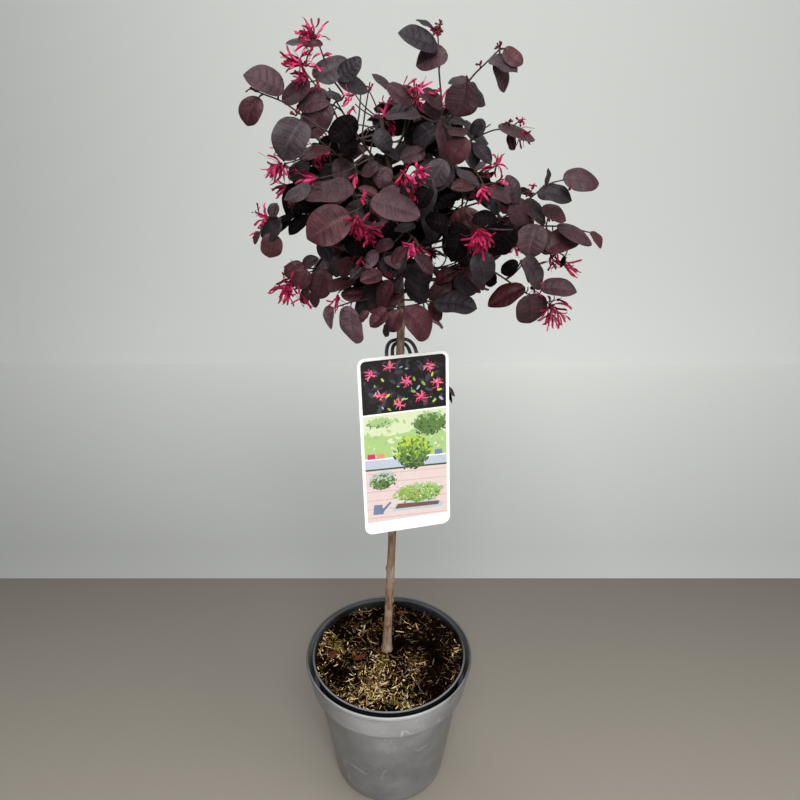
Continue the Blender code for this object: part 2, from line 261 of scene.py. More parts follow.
@dataclass(frozen=True)
class LeafFinish:
    """One colour of leaf, for its upper side and its underside."""

    name: str
    upper: Colour
    under: Colour
    sheen: float
    gloss: float = 0.22

    def materials(self) -> list[Material]:
        """Makes the leaf's materials.

        Returns:
            Those of the upper side, the underside, the veins, and the grooves beside them, darker as painted
            shade.
        """
        # The groove colour is the blade's colour darkened: painted shade in the grooves beside the veins.
        vein, groove_shade = scaled(self.upper, 1.25, 0.003), scaled(self.upper, 0.72)
        parts = (("upper", self.upper, self.sheen), ("under", self.under, 0.62),
                 ("vein", vein, 0.5), ("groove_shade", groove_shade, self.sheen))
        return [self.part(*part) for part in parts]

    def part(self, name: str, colour: Colour, roughness: float) -> Material:
        """Makes the material of one part of the blade.

        Args:
            name: The part's name.
            colour: Its middle colour.
            roughness: Its middle roughness.

        Returns:
            The material.
        """
        recipe = Recipe(f"leaf_{self.name}_{name}")
        blotches = recipe.between(recipe.noise(70.0, 4.0, 0.6), 0.35, 0.65)
        grain = recipe.noise(900.0, 2.0, 0.5)
        recipe.relief(grain * 0.35 + recipe.noise(190.0, 4.0, 0.6), 0.001, 0.8)
        blade = recipe.mixed(blotches, scaled(colour, 0.62), scaled(colour, 1.26, 0.001))
        return recipe.fill(blade, grain * 0.18 + (roughness - 0.09), self.gloss)


@dataclass(frozen=True)
class PetalFinish:
    """The blossom's straps: crimson to hot pink."""

    name: str
    deep: Colour
    bright: Colour

    def materials(self) -> list[Material]:
        """Makes the petals' material.

        Returns:
            That material alone.
        """
        recipe = Recipe(f"petal_{self.name}")
        shade = recipe.between(recipe.noise(150.0, 3.0), 0.32, 0.68)
        recipe.relief(recipe.noise(700.0, 2.0, 0.5, (1.0, 1.0, 0.25)), 0.0002, 0.5)
        return [recipe.fill(recipe.mixed(shade, self.deep, self.bright), 0.5, 0.22)]


@dataclass(frozen=True)
class BarkFinish:
    """Young bark: streaks along the limb, paler specks and a grey bloom; above crown_shade_level, painted
    shade of the crown.
    """

    name: str
    dark: Colour
    light: Colour
    bloom: Colour
    grain: float = 380.0
    crown_shade_level: float = 9.0

    def materials(self) -> list[Material]:
        """Makes the bark's material.

        Returns:
            That material alone.
        """
        recipe = Recipe(f"bark_{self.name}")
        streaks = recipe.noise(self.grain, 5.0, 0.65, (1.0, 1.0, 0.16))
        patches = recipe.between(recipe.noise(45.0, 4.0, 0.6), 0.45, 0.68)
        specks = recipe.between(recipe.noise(1100.0, 2.0, 0.5, (1.0, 1.0, 0.5)), 0.6, 0.72)
        # Painted shade: above this level the bark is darkened nearly to black, inside the crown.
        crown_shade = recipe.between(recipe.axes()[2], self.crown_shade_level, self.crown_shade_level + 0.05)
        bark = recipe.mixed(recipe.between(streaks, 0.36, 0.64), self.dark, self.light)
        bark = recipe.mixed(patches * 0.6, bark, self.bloom)
        bark = recipe.mixed(specks * 0.45, bark, self.bloom)
        bark = recipe.mixed(crown_shade * 0.85, bark, scaled(self.dark, 0.1))
        recipe.relief(streaks + specks * 0.3, 0.0006, 0.8)
        return [recipe.fill(bark, streaks * 0.25 + 0.6, 0.2)]


@dataclass(frozen=True)
class PlasticFinish:
    """Moulded plastic with a soft gloss, cloudy scuffs, fine scratches and a few drying lines.

    Above lip_highlight_level its lip shows a pale line, a painted highlight, strongest towards the front. The
    upper part of its front is lightened by the share front_painted_light, painted light, and above
    rim_shade_level it is darker away from the front, painted shade.
    """

    name: str
    body: Colour
    scuff: Colour
    roughness: float
    scuffing: float
    lip_highlight_level: float = 9.0
    front_painted_light: float = 0.0
    rim_shade_level: float = 9.0
    specular: float = 0.5

    def materials(self) -> list[Material]:
        """Makes the plastic's material.

        Returns:
            That material alone.
        """
        recipe = Recipe(f"plastic_{self.name}")
        between = recipe.between
        _, depth, height = recipe.axes()
        clouds = between(recipe.noise(22.0, 6.0, 0.62, (1.0, 1.0, 1.6)), 0.42, 0.72)
        scratches = between(recipe.noise(60.0, 7.0, 0.72, (2.2, 2.2, 0.5)), 0.6, 0.74)
        dust = between(recipe.noise(420.0, 3.0, 0.6), 0.5, 0.75)
        middle = recipe.noise(9.0, 3.0, 0.5, (1.0, 1.0, 0.7)) - 0.5
        lines = between(middle * middle, 0.00005, 0.0) * between(recipe.noise(26.0, 3.0, 0.6), 0.52, 0.66)
        # Painted highlight: a pale line along the lip's top, strongest towards the front.
        edge = between(height, self.lip_highlight_level, self.lip_highlight_level + 0.0006)
        edge = edge * (between(depth, 0.03, -0.06) * 0.3 + 0.02)
        # Painted light: the upper part of the front, which faces the lamps, is paled by this share.
        front = between(depth, -0.066, -0.101) * between(height, 0.05, 0.17)
        # This mix holds real clouds, scratches, dust and drying lines, and also the painted front light and
        # lip highlight.
        wear_and_painted_light = (clouds * 0.45 + scratches * 0.75 + dust * 0.2 + lines * 1.3) * self.scuffing
        wear_and_painted_light = (wear_and_painted_light + front * self.front_painted_light + edge).clamped()
        recipe.relief(recipe.noise(1400.0, 2.0, 0.5) + scratches * 0.6, 0.00012, 0.6)
        # Painted shade: above this level the rim is darkened away from the front.
        rim = between(height, self.rim_shade_level, self.rim_shade_level + 0.002) * between(depth, -0.085, -0.02)
        shell = recipe.mixed(rim * 0.85, recipe.mixed(wear_and_painted_light, self.body, self.scuff), scaled(self.body, 0.22))
        return [recipe.fill(shell, wear_and_painted_light * 0.3 + clouds * 0.08 + self.roughness, self.specular)]


@dataclass(frozen=True)
class EarthFinish:
    """Moist peat, or fibres and chips of it."""

    name: str
    dark: Colour
    light: Colour
    scale: float = 260.0

    def materials(self) -> list[Material]:
        """Makes the earth's material.

        Returns:
            That material alone.
        """
        recipe = Recipe(f"earth_{self.name}")
        crumbs = recipe.noise(self.scale, 6.0, 0.7)
        recipe.relief(crumbs, 0.0014, 1.0)
        earth = recipe.mixed(recipe.between(crumbs, 0.4, 0.66), self.dark, self.light)
        return [recipe.fill(earth, crumbs * 0.3 + 0.68, 0.0)]


@dataclass(frozen=True)
class PaperFinish:
    """Coated card, or an ink on it, with a faint mottle."""

    name: str
    ink: Colour
    roughness: float = 0.38

    def materials(self) -> list[Material]:
        """Makes the card's or the ink's material.

        Returns:
            That material alone.
        """
        recipe = Recipe(f"card_{self.name}")
        mottle = recipe.noise(520.0, 3.0, 0.6)
        recipe.relief(mottle, 0.00004, 0.4)
        paper = recipe.mixed(recipe.between(mottle, 0.3, 0.7), scaled(self.ink, 0.9), self.ink)
        return [recipe.fill(paper, mottle * 0.12 + self.roughness)]


@dataclass(frozen=True)
class StageFinish:
    """A surface of the stage with painted light fall-off: lightest at one distance back and up, darker before
    and behind it.

    It also darkens to its sides, painted shade: fully at the outer two of the four places across, not at all
    between the inner two.
    """

    name: str
    light: Colour
    dark: Colour
    places: Triple
    edges: tuple[float, float, float, float]
    sides: float

    def materials(self) -> list[Material]:
        """Makes the surface's material.

        Returns:
            That material alone.
        """
        recipe = Recipe(f"stage_{self.name}")
        between = recipe.between
        across, depth, height = recipe.axes()
        place = depth + height
        near, lightest, far = self.places
        left, from_left, to_right, right = self.edges
        middle = between(place, near, lightest) * between(place, far, lightest)
        inner = between(across, left, from_left) * between(across, right, to_right)
        share = middle * (1 - self.sides) + inner * self.sides
        return [recipe.fill(recipe.mixed(share, self.dark, self.light), 0.75)]


class Tone(Enum):
    """The leaf colours, each with its finish; INK stands for painted shade."""

    DUSK = LeafFinish("dusk", seen(50, 38, 42), seen(64, 49, 54), 0.46)
    PLUM = LeafFinish("plum", seen(56, 34, 39), seen(72, 47, 53), 0.47)
    WINE = LeafFinish("wine", seen(64, 30, 36), seen(82, 46, 52), 0.47)
    GARNET = LeafFinish("garnet", seen(50, 14, 20), seen(74, 30, 38), 0.44)
    SLATE = LeafFinish("slate", seen(39, 33, 37), seen(56, 46, 51), 0.42, 0.16)
    # INK is painted shade: a near-black, glossless leaf for leaves that face away in the crown's shadow.
    INK = LeafFinish("ink", seen(13, 9, 11), seen(22, 16, 18), 0.6, 0.0)
    MAUVE = LeafFinish("mauve", seen(102, 78, 86), seen(112, 88, 95), 0.55)


class Palette(Enum):
    """How often each tone falls to a leaf, by the part of the crown it grows in; DEEP is painted shade."""

    HIGH = {Tone.DUSK: 6, Tone.SLATE: 3, Tone.PLUM: 3, Tone.WINE: 1}
    MIDDLE = {Tone.PLUM: 6, Tone.DUSK: 3, Tone.INK: 1, Tone.GARNET: 1, Tone.SLATE: 1}
    LOW = {Tone.WINE: 6, Tone.PLUM: 5, Tone.GARNET: 3, Tone.INK: 1, Tone.MAUVE: 0.4}
    # DEEP is painted shade: mostly near-black tones for leaves inside the crown, where shade falls.
    DEEP = {Tone.INK: 6, Tone.GARNET: 2, Tone.SLATE: 2, Tone.PLUM: 0.6}

    def deal(self, rng: random.Random) -> Tone:
        """One tone at random, by the palette's weights."""
        return rng.choices(list(self.value), weights=list(self.value.values()))[0]


@dataclass
class Mesher:
    """Collects the vertices and faces of one piece."""

    vertices: list[Array] = field(default_factory=list)
    faces: Faces = field(default_factory=list)
    slots: list[int] = field(default_factory=list)
    count: int = 0

    def add(self, vertices: Array, faces: Any, slots: int | Sequence[int] = 0) -> None:
        """Adds a shape.

        Args:
            vertices: Its corners, n by 3.
            faces: Its faces, as lists of corner numbers or an array of them.
            slots: The material slot of all its faces or of each.
        """
        if isinstance(faces, np.ndarray):
            self.faces.extend((faces + self.count).tolist())
        else:
            self.faces.extend([[corner + self.count for corner in face] for face in faces])
        self.slots.extend([slots] * len(faces) if isinstance(slots, int) else slots)
        self.vertices.append(vertices)
        self.count += len(vertices)

    def piece(self, name: str, materials: Sequence[Material], slot: str, stands_for: Sequence[str] = (),
              sharp: float = 50.0) -> None:
        """Makes the piece, dresses it and lets it ride on the plant.

        Args:
            name: The piece's name.
            materials: Its materials, in slot order.
            slot: Not used.
            stands_for: The nodes that it replaces.
            sharp: The angle in degrees above which an edge stays sharp.
        """
        mesh = bpy.data.meshes.new(name)
        mesh.from_pydata(np.concatenate(self.vertices), [], self.faces)
        mesh.polygons.foreach_set("material_index", self.slots)
        for material in materials:
            mesh.materials.append(material)
        mesh.shade_smooth()
        mesh.set_sharp_from_angle(angle=math.radians(sharp))
        mesh.update()
        made = bpy.data.objects.new(name, mesh)
        bpy.context.collection.objects.link(made)
        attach(made, BODY)
        if stands_for:
            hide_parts(*stands_for)
        LOG.info("%s: %d faces", name, len(self.faces))


def ring_faces(rings: int, sides: int) -> Array:
    """Quads between neighbouring rings of a tube.

    Args:
        rings: How many rings there are.
        sides: How many corners each ring has.

    Returns:
        The faces, n by 4.
    """
    ring, side = (grid.ravel() for grid in np.meshgrid(np.arange(rings - 1), np.arange(sides), indexing="ij"))
    beside = (side + 1) % sides
    low, high = ring * sides, (ring + 1) * sides
    return np.stack([low + side, low + beside, high + beside, high + side], axis=1)


def tube_faces(rings: int, sides: int) -> Faces:
    """The faces of a tube that is closed at both ends."""
    ends = [list(range(sides))[::-1], [(rings - 1) * sides + i for i in range(sides)]]
    return ring_faces(rings, sides).tolist() + ends


def ball() -> tuple[Array, Array]:
    """A round shape of radius 1.

    Returns:
        Its corners and faces.
    """
    maker = bmesh.new()
    bmesh.ops.create_icosphere(maker, subdivisions=2, radius=1.0)
    corners = np.array([vert.co for vert in maker.verts])
    faces = np.array([[vert.index for vert in face.verts] for face in maker.faces])
    maker.free()
    return corners, faces


def ring_frames(path: Array) -> tuple[Array, Array]:
    """Two directions across a path at each point, without twist.

    Args:
        path: Points, n by 3.

    Returns:
        The directions, each n by 3.
    """
    ahead = np.gradient(path, axis=0)
    ahead /= np.linalg.norm(ahead, axis=1, keepdims=True)
    across = np.empty_like(path)
    helper = np.array([1.0, 0.0, 0.0]) if abs(ahead[0][0]) < 0.8 else np.array([0.0, 1.0, 0.0])
    for i, forward in enumerate(ahead):
        helper = helper - forward * helper.dot(forward)
        helper /= np.linalg.norm(helper)
        across[i] = helper
    return across, np.cross(ahead, across)


def add_tube(mesher: Mesher, path: Array, radii: Array, sides: int) -> None:
    """Adds a closed tapering tube.

    Args:
        mesher: What it goes into.
        path: Its axis, n by 3.
        radii: Its radius at each point, or at each corner of each ring, n by sides.
        sides: How many corners a ring has.
    """
    across, beside = ring_frames(path)
    angles = np.linspace(0.0, FULL_TURN, sides, endpoint=False)
    if radii.ndim == 1:
        radii = np.repeat(radii[:, None], sides, axis=1)
    offsets = (np.cos(angles)[None, :, None] * across[:, None, :]
               + np.sin(angles)[None, :, None] * beside[:, None, :])
    corners = (path[:, None, :] + radii[:, :, None] * offsets).reshape(-1, 3)
    mesher.add(corners, tube_faces(len(path), sides))


def curve(start: Vector, bend: Vector, end: Vector, steps: int) -> Array:
    """Points on the quadratic curve from start to end that leans towards bend.

    Args:
        start: Where it starts.
        bend: The point that it leans towards.
        end: Where it ends.
        steps: How many steps it has.

    Returns:
        The points, n by 3.
    """
    t = np.linspace(0.0, 1.0, steps + 1)[:, None]
    a, b, c = (np.array(point) for point in (start, bend, end))
    return a * (1 - t) ** 2 + b * 2 * t * (1 - t) + c * t * t


def quarter(x: float, z: float, radius: float, first: float, steps: int) -> list[Pair]:
    """Points on a quarter of the circle round (x, z), from its first angle in degrees on."""
    turns = (math.radians(first + 90.0 * k / steps) for k in range(steps + 1))
    return [(x + radius * math.cos(turn), z + radius * math.sin(turn)) for turn in turns]


def turned(profile: Sequence[Pair], sides: int, shift: float = 0.0) -> tuple[Array, Faces]:
    """A solid turned about the vertical axis.

    Args:
        profile: (radius, height) pairs from the axis round to the axis again.
        sides: How many sides it has.
        shift: How far it stands towards +Y.

    Returns:
        Its corners and faces.
    """
    inner = np.array(profile[1:-1])
    angles = np.linspace(0.0, FULL_TURN, sides, endpoint=False)
    corners = np.stack([inner[:, :1] * np.cos(angles), inner[:, :1] * np.sin(angles) + shift,
                        np.repeat(inner[:, 1:], sides, axis=1)], axis=2).reshape(-1, 3)
    count = len(corners)
    corners = np.concatenate([corners, [[0.0, shift, profile[0][1]], [0.0, shift, profile[-1][1]]]])
    faces = ring_faces(len(inner), sides).tolist()
    for i in range(sides):
        j = (i + 1) % sides
        faces.append([j, i, count])
        faces.append([count - sides + i, count - sides + j, count + 1])
    return corners, faces


def rounded(profile: Sequence[Triple], steps: int = 5) -> list[Pair]:
    """A profile with its corners rounded.

    Args:
        profile: (radius, height, rounding) of each corner.
        steps: How many steps an arc has.

    Returns:
        (radius, height) pairs.
    """
    made = []
    for i, (radius, height, rounding) in enumerate(profile):
        if rounding == 0.0 or i in (0, len(profile) - 1):
            made.append((radius, height))
            continue
        here = Vector((radius, height))
        before = Vector(profile[i - 1][:2]) - here
        after = Vector(profile[i + 1][:2]) - here
        start = here + before.normalized() * min(rounding, before.length * 0.45)
        end = here + after.normalized() * min(rounding, after.length * 0.45)
        for t in (step / steps for step in range(steps + 1)):
            made.append(tuple(start * (1 - t) ** 2 + here * 2 * t * (1 - t) + end * t * t))
    return made


@dataclass
class OuterPot:
    """The grey outer pot: a tapered wall under a stepped rim band."""

    height: float = 0.19
    rim_radius: float = 0.101
    band_height: float = 0.04
    band_low_radius: float = 0.095
    neck_radius: float = 0.089
    base_radius: float = 0.069
    wall: float = 0.0025
    floor: float = 0.004
    lip: float = 0.0011
    wander: float = 0.0004
    even_level: float = 0.006
    sides: int = 192

    def profile(self) -> list[Pair]:
        """The pot's section, from the middle of its underside round to the middle of its floor."""
        low = self.height - self.band_height
        return rounded([
            (0.0, 0.0, 0.0),
            (self.base_radius - 0.0035, 0.0, 0.0008),
            (self.base_radius, 0.0045, 0.003),
            (self.neck_radius, low - 0.0008, 0.001),
            (self.band_low_radius - 0.0006, low + 0.0004, 0.0012),
            (self.band_low_radius + 0.0006, low + 0.003, 0.0016),
            (self.rim_radius - 0.0012, self.height - 0.006, 0.002),
            (self.rim_radius, self.height - 0.004, 0.001),
            (self.rim_radius, self.height, self.lip),
            (self.rim_radius - self.wall, self.height, self.lip),
            (self.rim_radius - self.wall - 0.0004, self.height - 0.004, 0.001),
            (self.band_low_radius - self.wall, low + 0.002, 0.0015),
            (self.neck_radius - self.wall, low - 0.001, 0.0015),
            (self.base_radius - self.wall - 0.001, self.floor + 0.005, 0.003),
            (self.base_radius - self.wall - 0.005, self.floor, 0.002),
            (0.0, self.floor, 0.0),
        ])

    def build(self) -> None:
        """Turns the pot, with walls that wander a little out of round, and dresses it."""
        corners, faces = turned(self.profile(), self.sides)
        for corner in corners:
            if corner[2] > self.even_level:
                swell = noise.noise(Vector(corner) * 14.0) * self.wander
                corner[:2] *= 1 + swell / max(math.hypot(corner[0], corner[1]), 0.01)
        mesher = Mesher()
        mesher.add(corners, faces)
        # Its upper front gets painted light, and its rim away from the front gets painted shade.
        finish = PlasticFinish("outer_pot", seen(106, 106, 107), seen(186, 187, 188), 0.28, 0.55,
                               front_painted_light=0.55, rim_shade_level=0.186, specular=0.45)
        mesher.piece("outer_pot_shell", finish.materials(), "outer_pot", ["outer_pot"], 40.0)


@dataclass
class GrowerPot:
    """The thin black pot inside, whose rolled lip shows a bright line, a painted highlight."""

    shift: float = 0.0028
    top: float = 0.1885
    lip_radius: float = 0.094
    neck_radius: float = 0.092
    step_level: float = 0.152
    step_radius: float = 0.0832
    base_radius: float = 0.06
    wall: float = 0.0012
    floor: float = 0.0043
    sides: int = 192

    def profile(self) -> list[Pair]:
        """The pot's section, from the middle of its underside round to the middle of its floor."""
        neck = self.neck_radius
        return rounded([
            (0.0, self.floor, 0.0),
            (self.base_radius - 0.002, self.floor, 0.001),
            (self.base_radius, self.floor + 0.003, 0.002),
            (self.step_radius, self.step_level - 0.008, 0.004),
            (neck - 0.0012, self.top - 0.012, 0.004),
            (neck, self.top - 0.0034, 0.001),
            (self.lip_radius - 0.0004, self.top - 0.003, 0.0006),
            (self.lip_radius, self.top - 0.0012, 0.0008),
            (self.lip_radius - 0.0006, self.top, 0.0006),
            (neck - 0.0002, self.top, 0.0008),
            (neck - self.wall, self.top - 0.002, 0.001),
            (neck - 0.0012 - self.wall, self.top - 0.012, 0.004),
            (self.step_radius - self.wall, self.step_level - 0.008, 0.004),
            (self.base_radius - self.wall, self.floor + self.wall, 0.0015),
            (0.0, self.floor + self.wall, 0.0),
        ], 4)

    def build(self) -> None:
        """Turns the pot and dresses it."""
        mesher = Mesher()
        mesher.add(*turned(self.profile(), self.sides, self.shift))
        # The pale line on its lip is a painted highlight.
        finish = PlasticFinish("grower_pot", seen(14, 14, 15), seen(176, 178, 184), 0.3, 0.1,
                               lip_highlight_level=self.top - 0.0012, specular=0.25)
        mesher.piece("grower_pot_shell", finish.materials(), "grower_pot", ["grower_pot"], 40.0)


class Splinter(Enum):
    """The kinds of splinter in the soil, each with its finish."""

    STRAW = EarthFinish("straw", seen(206, 170, 106), seen(255, 236, 184), 600.0)
    TAN = EarthFinish("tan", seen(58, 38, 19), seen(150, 112, 66), 600.0)
    ASH = EarthFinish("ash", seen(62, 54, 44), seen(146, 134, 112), 600.0)
    BROWN = EarthFinish("brown", seen(8, 4, 2), seen(50, 30, 19), 600.0)
    MOSS = EarthFinish("moss", seen(62, 54, 16), seen(146, 132, 54), 600.0)


@dataclass
class Soil:
    """Rough peat with straw and tan splinters, chips of bark and a little moss."""

    level: float = 0.1822
    top_radius: float = 0.0906
    middle_radius: float = 0.08
    base_radius: float = 0.0575
    middle: float = 0.142
    bottom: float = 0.0063
    shift: float = 0.0028
    foot: Pair = (-0.003, 0.015)
    foot_level: float = 0.1797
    foot_radius: float = 0.0058
    moss: tuple[Pair, ...] = ((-0.006, -0.012), (-0.07, 0.028), (-0.06, 0.012), (0.012, -0.072))
    moss_radius: float = 0.012
    rings: int = 92
    sides: int = 280
    splinters: int = 12500
    seed: int = 11

    def from_foot(self, x: float, y: float) -> float:
        """How far a place lies from the middle of the trunk's foot."""
        return math.hypot(x - self.foot[0], y - self.foot[1])

    def height(self, x: float, y: float) -> float:
        """The soil's level at a place: hollows, clods and crumbs, calm round the trunk's foot.

        Args:
            x: The place across.
            y: The place in depth.

        Returns:
            The level.
        """
        calm = min(1.0, max(0.0, (self.from_foot(x, y) - 0.005) / 0.024))
        hollows = 0.0036 * noise.noise(Vector((x * 21.0, y * 21.0, 5.3)))
        clods = 0.003 * noise.noise(Vector((x * 60.0, y * 60.0, 1.7)))
        crumbs = 0.0018 * noise.noise(Vector((x * 150.0, y * 150.0, 4.1)))
        grit = 0.001 * abs(noise.noise(Vector((x * 340.0, y * 340.0, 9.2))))
        edge = 0.0016 * max(0.0, math.hypot(x, y) / self.top_radius - 0.9) / 0.1
        rough = calm * (hollows + clods + crumbs + grit)
        return mix_numbers(self.foot_level, self.level - edge, calm) + rough

    def build_peat(self) -> None:
        """Makes the block of peat, rough on top."""
        angles = np.linspace(0.0, FULL_TURN, self.sides, endpoint=False)
        radii = np.concatenate([
            [self.base_radius, self.middle_radius, self.top_radius - 0.0004, self.top_radius],
            np.linspace(self.top_radius - 0.0008, 0.0012, self.rings)])
        fixed = {0: self.bottom, 1: self.middle, 2: self.level - 0.01}
        corners = np.stack([radii[:, None] * np.cos(angles), radii[:, None] * np.sin(angles) + self.shift,
                            np.zeros((len(radii), self.sides))], axis=2).reshape(-1, 3)
        for number, corner in enumerate(corners):
            ring = number // self.sides
            corner[2] = fixed[ring] if ring in fixed else self.height(corner[0], corner[1])
        mesher = Mesher()
        mesher.add(corners, tube_faces(len(radii), self.sides))
        finish = EarthFinish("peat", seen(2, 1, 0), seen(16, 9, 5))
        mesher.piece("soil_peat", finish.materials(), "soil", ["soil"], 180.0)

    def add_splinter(self, mesher: Mesher, rng: random.Random, place: Vector, length: float,
                     width: float) -> None:
        """Adds one splinter, thin, three-sided and nearly straight.

        Args:
            mesher: What it goes into.
            rng: The random source.
            place: Its middle.
            length: Its length.
            width: Its width.
        """
        turn = rng.uniform(0.0, FULL_TURN)
        tilt = rng.gauss(0.12, 0.4)
        ahead = Vector((math.cos(turn) * math.cos(tilt), math.sin(turn) * math.cos(tilt), math.sin(tilt)))
        side = ahead.cross(UP).normalized()
        lift = side.cross(ahead)
        bow = rng.gauss(0.0, 0.02) * length
        corners = []
        for t in (0.0, 0.34, 0.68, 1.0):
            centre = place + ahead * ((t - 0.5) * length) + side * (bow * 4 * t * (1 - t))
            half = width * (0.5 if 0.0 < t < 1.0 else 0.24)
            corners += [centre + side * half, centre - side * half, centre + lift * half * 0.7]
        mesher.add(np.array(corners), tube_faces(4, 3))

    def kind_at(self, rng: random.Random, x: float, y: float) -> Splinter | None:
        """Picks a splinter for a place: pale ones to the front and left, dark ones to the right and back.

        Args:
            rng: The random source.
            x: The place across.
            y: The place in depth.

        Returns:
            Its kind, or nothing where none lies.
        """
        drift = noise.noise(Vector((x * 26.0, y * 26.0, 6.0)))
        drift += 0.5 * noise.noise(Vector((x * 70.0, y * 70.0, 2.0)))
        pale = 0.14 - y / 0.32 - x / 0.4 + 0.6 * drift
        if rng.random() > 0.32 + 0.34 * pale + 0.3 * drift:
            return None
        mossy = max(0.0, 1 - min(math.hypot(x - a, y - b) for a, b in self.moss) / self.moss_radius)
        roll = rng.random()
        if rng.random() < 0.02 + 0.75 * mossy:
            return Splinter.MOSS
        if roll < pale * 0.4:
            return Splinter.STRAW
        if roll < 0.14 + pale * 0.8:
            return Splinter.TAN
        return Splinter.ASH if roll > 0.86 else Splinter.BROWN

    def build_splinters(self) -> None:
        """Strews the splinters in drifts, clear of the trunk's foot and inside the pot."""
        rng = random.Random(self.seed)
        meshers = {kind: Mesher() for kind in Splinter}
        for _ in range(self.splinters):
            angle = rng.uniform(0.0, FULL_TURN)
            radius = self.top_radius * math.sqrt(rng.random()) * 0.985
            x, y = radius * math.cos(angle), radius * math.sin(angle) + self.shift
            if self.from_foot(x, y) < self.foot_radius:
                continue
            kind = self.kind_at(rng, x, y)
            if kind is None:
                continue
            length = 0.002 + 0.0125 * rng.random() ** 2.4
            width = rng.uniform(0.0005, 0.0014)
            edge = max(0.0, radius + length * 0.5 - self.top_radius)
            place = Vector((x, y, 0.0)) * (1 - edge / max(radius, 0.01))
            place.z = self.height(place.x, place.y) + rng.uniform(-0.0004, 0.0024)
            self.add_splinter(meshers[kind], rng, place, length, width)
        for kind, mesher in meshers.items():
            finish = kind.value
            mesher.piece(f"soil_splinters_{finish.name}", finish.materials(), "soil", (), 40.0)

    def build_chips(self) -> None:
        """Makes a few flat chips of red-brown bark and two pale grains."""
        rng = random.Random(self.seed + 1)
        mesher = Mesher()
        chips = ((-0.069, 0.004, 0.015, 0), (-0.036, -0.004, 0.018, 0), (0.014, 0.074, 0.013, 0),
                 (0.05, -0.04, 0.006, 0), (-0.02, -0.052, 0.006, 0), (-0.041, -0.022, 0.0036, 1),
                 (0.034, 0.046, 0.007, 0), (-0.045, 0.05, 0.006, 0), (0.018, -0.038, 0.0036, 1))
        ball_corners, ball_faces = ball()
        for x, y, size, slot in chips:
            flat = 0.26 if slot == 0 else 0.8
            turn = Matrix.Rotation(rng.uniform(0.0, math.pi), 3, "Z")
            turn = turn @ Matrix.Rotation(rng.gauss(0.0, 0.3), 3, "X")
            seat = Vector((x, y, self.height(x, y) + size * flat * 0.45))
            corners = []
            for spot in ball_corners:
                rough = 1 + 0.35 * noise.noise(Vector(spot) * 2.2 + Vector((x, y, 0.0)) * 90.0)
                shape = Vector((spot[0] * 0.5, spot[1] * 0.32, spot[2] * 0.5 * flat)) * size * rough
                corners.append(seat + turn @ shape)
            mesher.add(np.array(corners), ball_faces, slot)
        chip = EarthFinish("chip", seen(50, 26, 16), seen(102, 60, 38), 320.0)
        grain = EarthFinish("grain", seen(180, 172, 150), seen(236, 230, 214), 500.0)
        mesher.piece("soil_chips", chip.materials() + grain.materials(), "soil", (), 30.0)

    def build(self) -> None:
        """Builds the peat, its splinters and its chips."""
        self.build_peat()
        self.build_splinters()
        self.build_chips()


@dataclass
class Limb:
    """A bough's axis as the model's solid gives it: where it starts, leans and ends, and its radii."""

    start: Vector
    bend: Vector
    end: Vector
    thick: float
    thin: float

    @staticmethod
    def corners(node: str) -> Array:
        """The corners of a node's solid."""
        places = np.array([vertex.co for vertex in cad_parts[node].data.vertices])
        return np.unique(places.round(7), axis=0)

    @classmethod
    def read(cls, node: str, trunk: "TrunkAxis") -> "Limb":
        """Reads a bough's axis from its solid.

        Args:
            node: The bough's node.
            trunk: The trunk, at which the bough starts.

        Returns:
            The limb.
        """
        places = cls.corners(node)
        ring = 5
        far = [math.hypot(*(place[:2] - np.array(trunk.at(place[2]).xy))) for place in places]
        order = places[np.argsort(far)]
        start, end = order[:ring].mean(axis=0), order[-ring:].mean(axis=0)
        along = (places - start) @ (end - start) / np.dot(end - start, end - start)
        t = np.clip(along, 0.0, 1.0)[:, None]
        weight = 2 * t * (1 - t)
        rest = places - start * (1 - t) ** 2 - end * t ** 2
        bend = (rest * weight).sum(axis=0) / (weight ** 2).sum()
        thick = np.linalg.norm(order[:ring] - start, axis=1).mean()
        thin = np.linalg.norm(order[-ring:] - end, axis=1).mean()
        return cls(Vector(start), Vector(bend), Vector(end), float(thick), float(thin))

    def at(self, share: float) -> Vector:
        """The point at a share of the way along."""
        return self.start * (1 - share) ** 2 + self.bend * 2 * share * (1 - share) + self.end * share * share

    def ahead(self, share: float) -> Vector:
        """The direction at a share of the way along."""
        return ((self.bend - self.start) * (1 - share) + (self.end - self.bend) * share).normalized()


@dataclass
class TrunkAxis:
    """The trunk's axis and radius by height, read from its solid."""

    levels: Array
    centres: Array
    radii: Array

    @classmethod
    def read(cls, node: str = "trunk", ring: int = 8) -> "TrunkAxis":
        """Reads the trunk's rings of corners.

        Args:
            node: The trunk's node.
            ring: How many corners each ring has.

        Returns:
            The axis.
        """
        places = Limb.corners(node)
        places = places[np.argsort(places[:, 2])]
        rings = places[:len(places) // ring * ring].reshape(-1, ring, 3)
        centres = rings.mean(axis=1)
        radii = np.linalg.norm(rings - centres[:, None, :], axis=2).mean(axis=1)
        return cls(centres[:, 2], centres, radii)

    def at(self, level: float) -> Vector:
        """The axis's point at a height."""
        return Vector([float(np.interp(level, self.levels, self.centres[:, k])) for k in range(3)])

    def radius(self, level: float) -> float:
        """The radius at a height."""
        return float(np.interp(level, self.levels, self.radii))


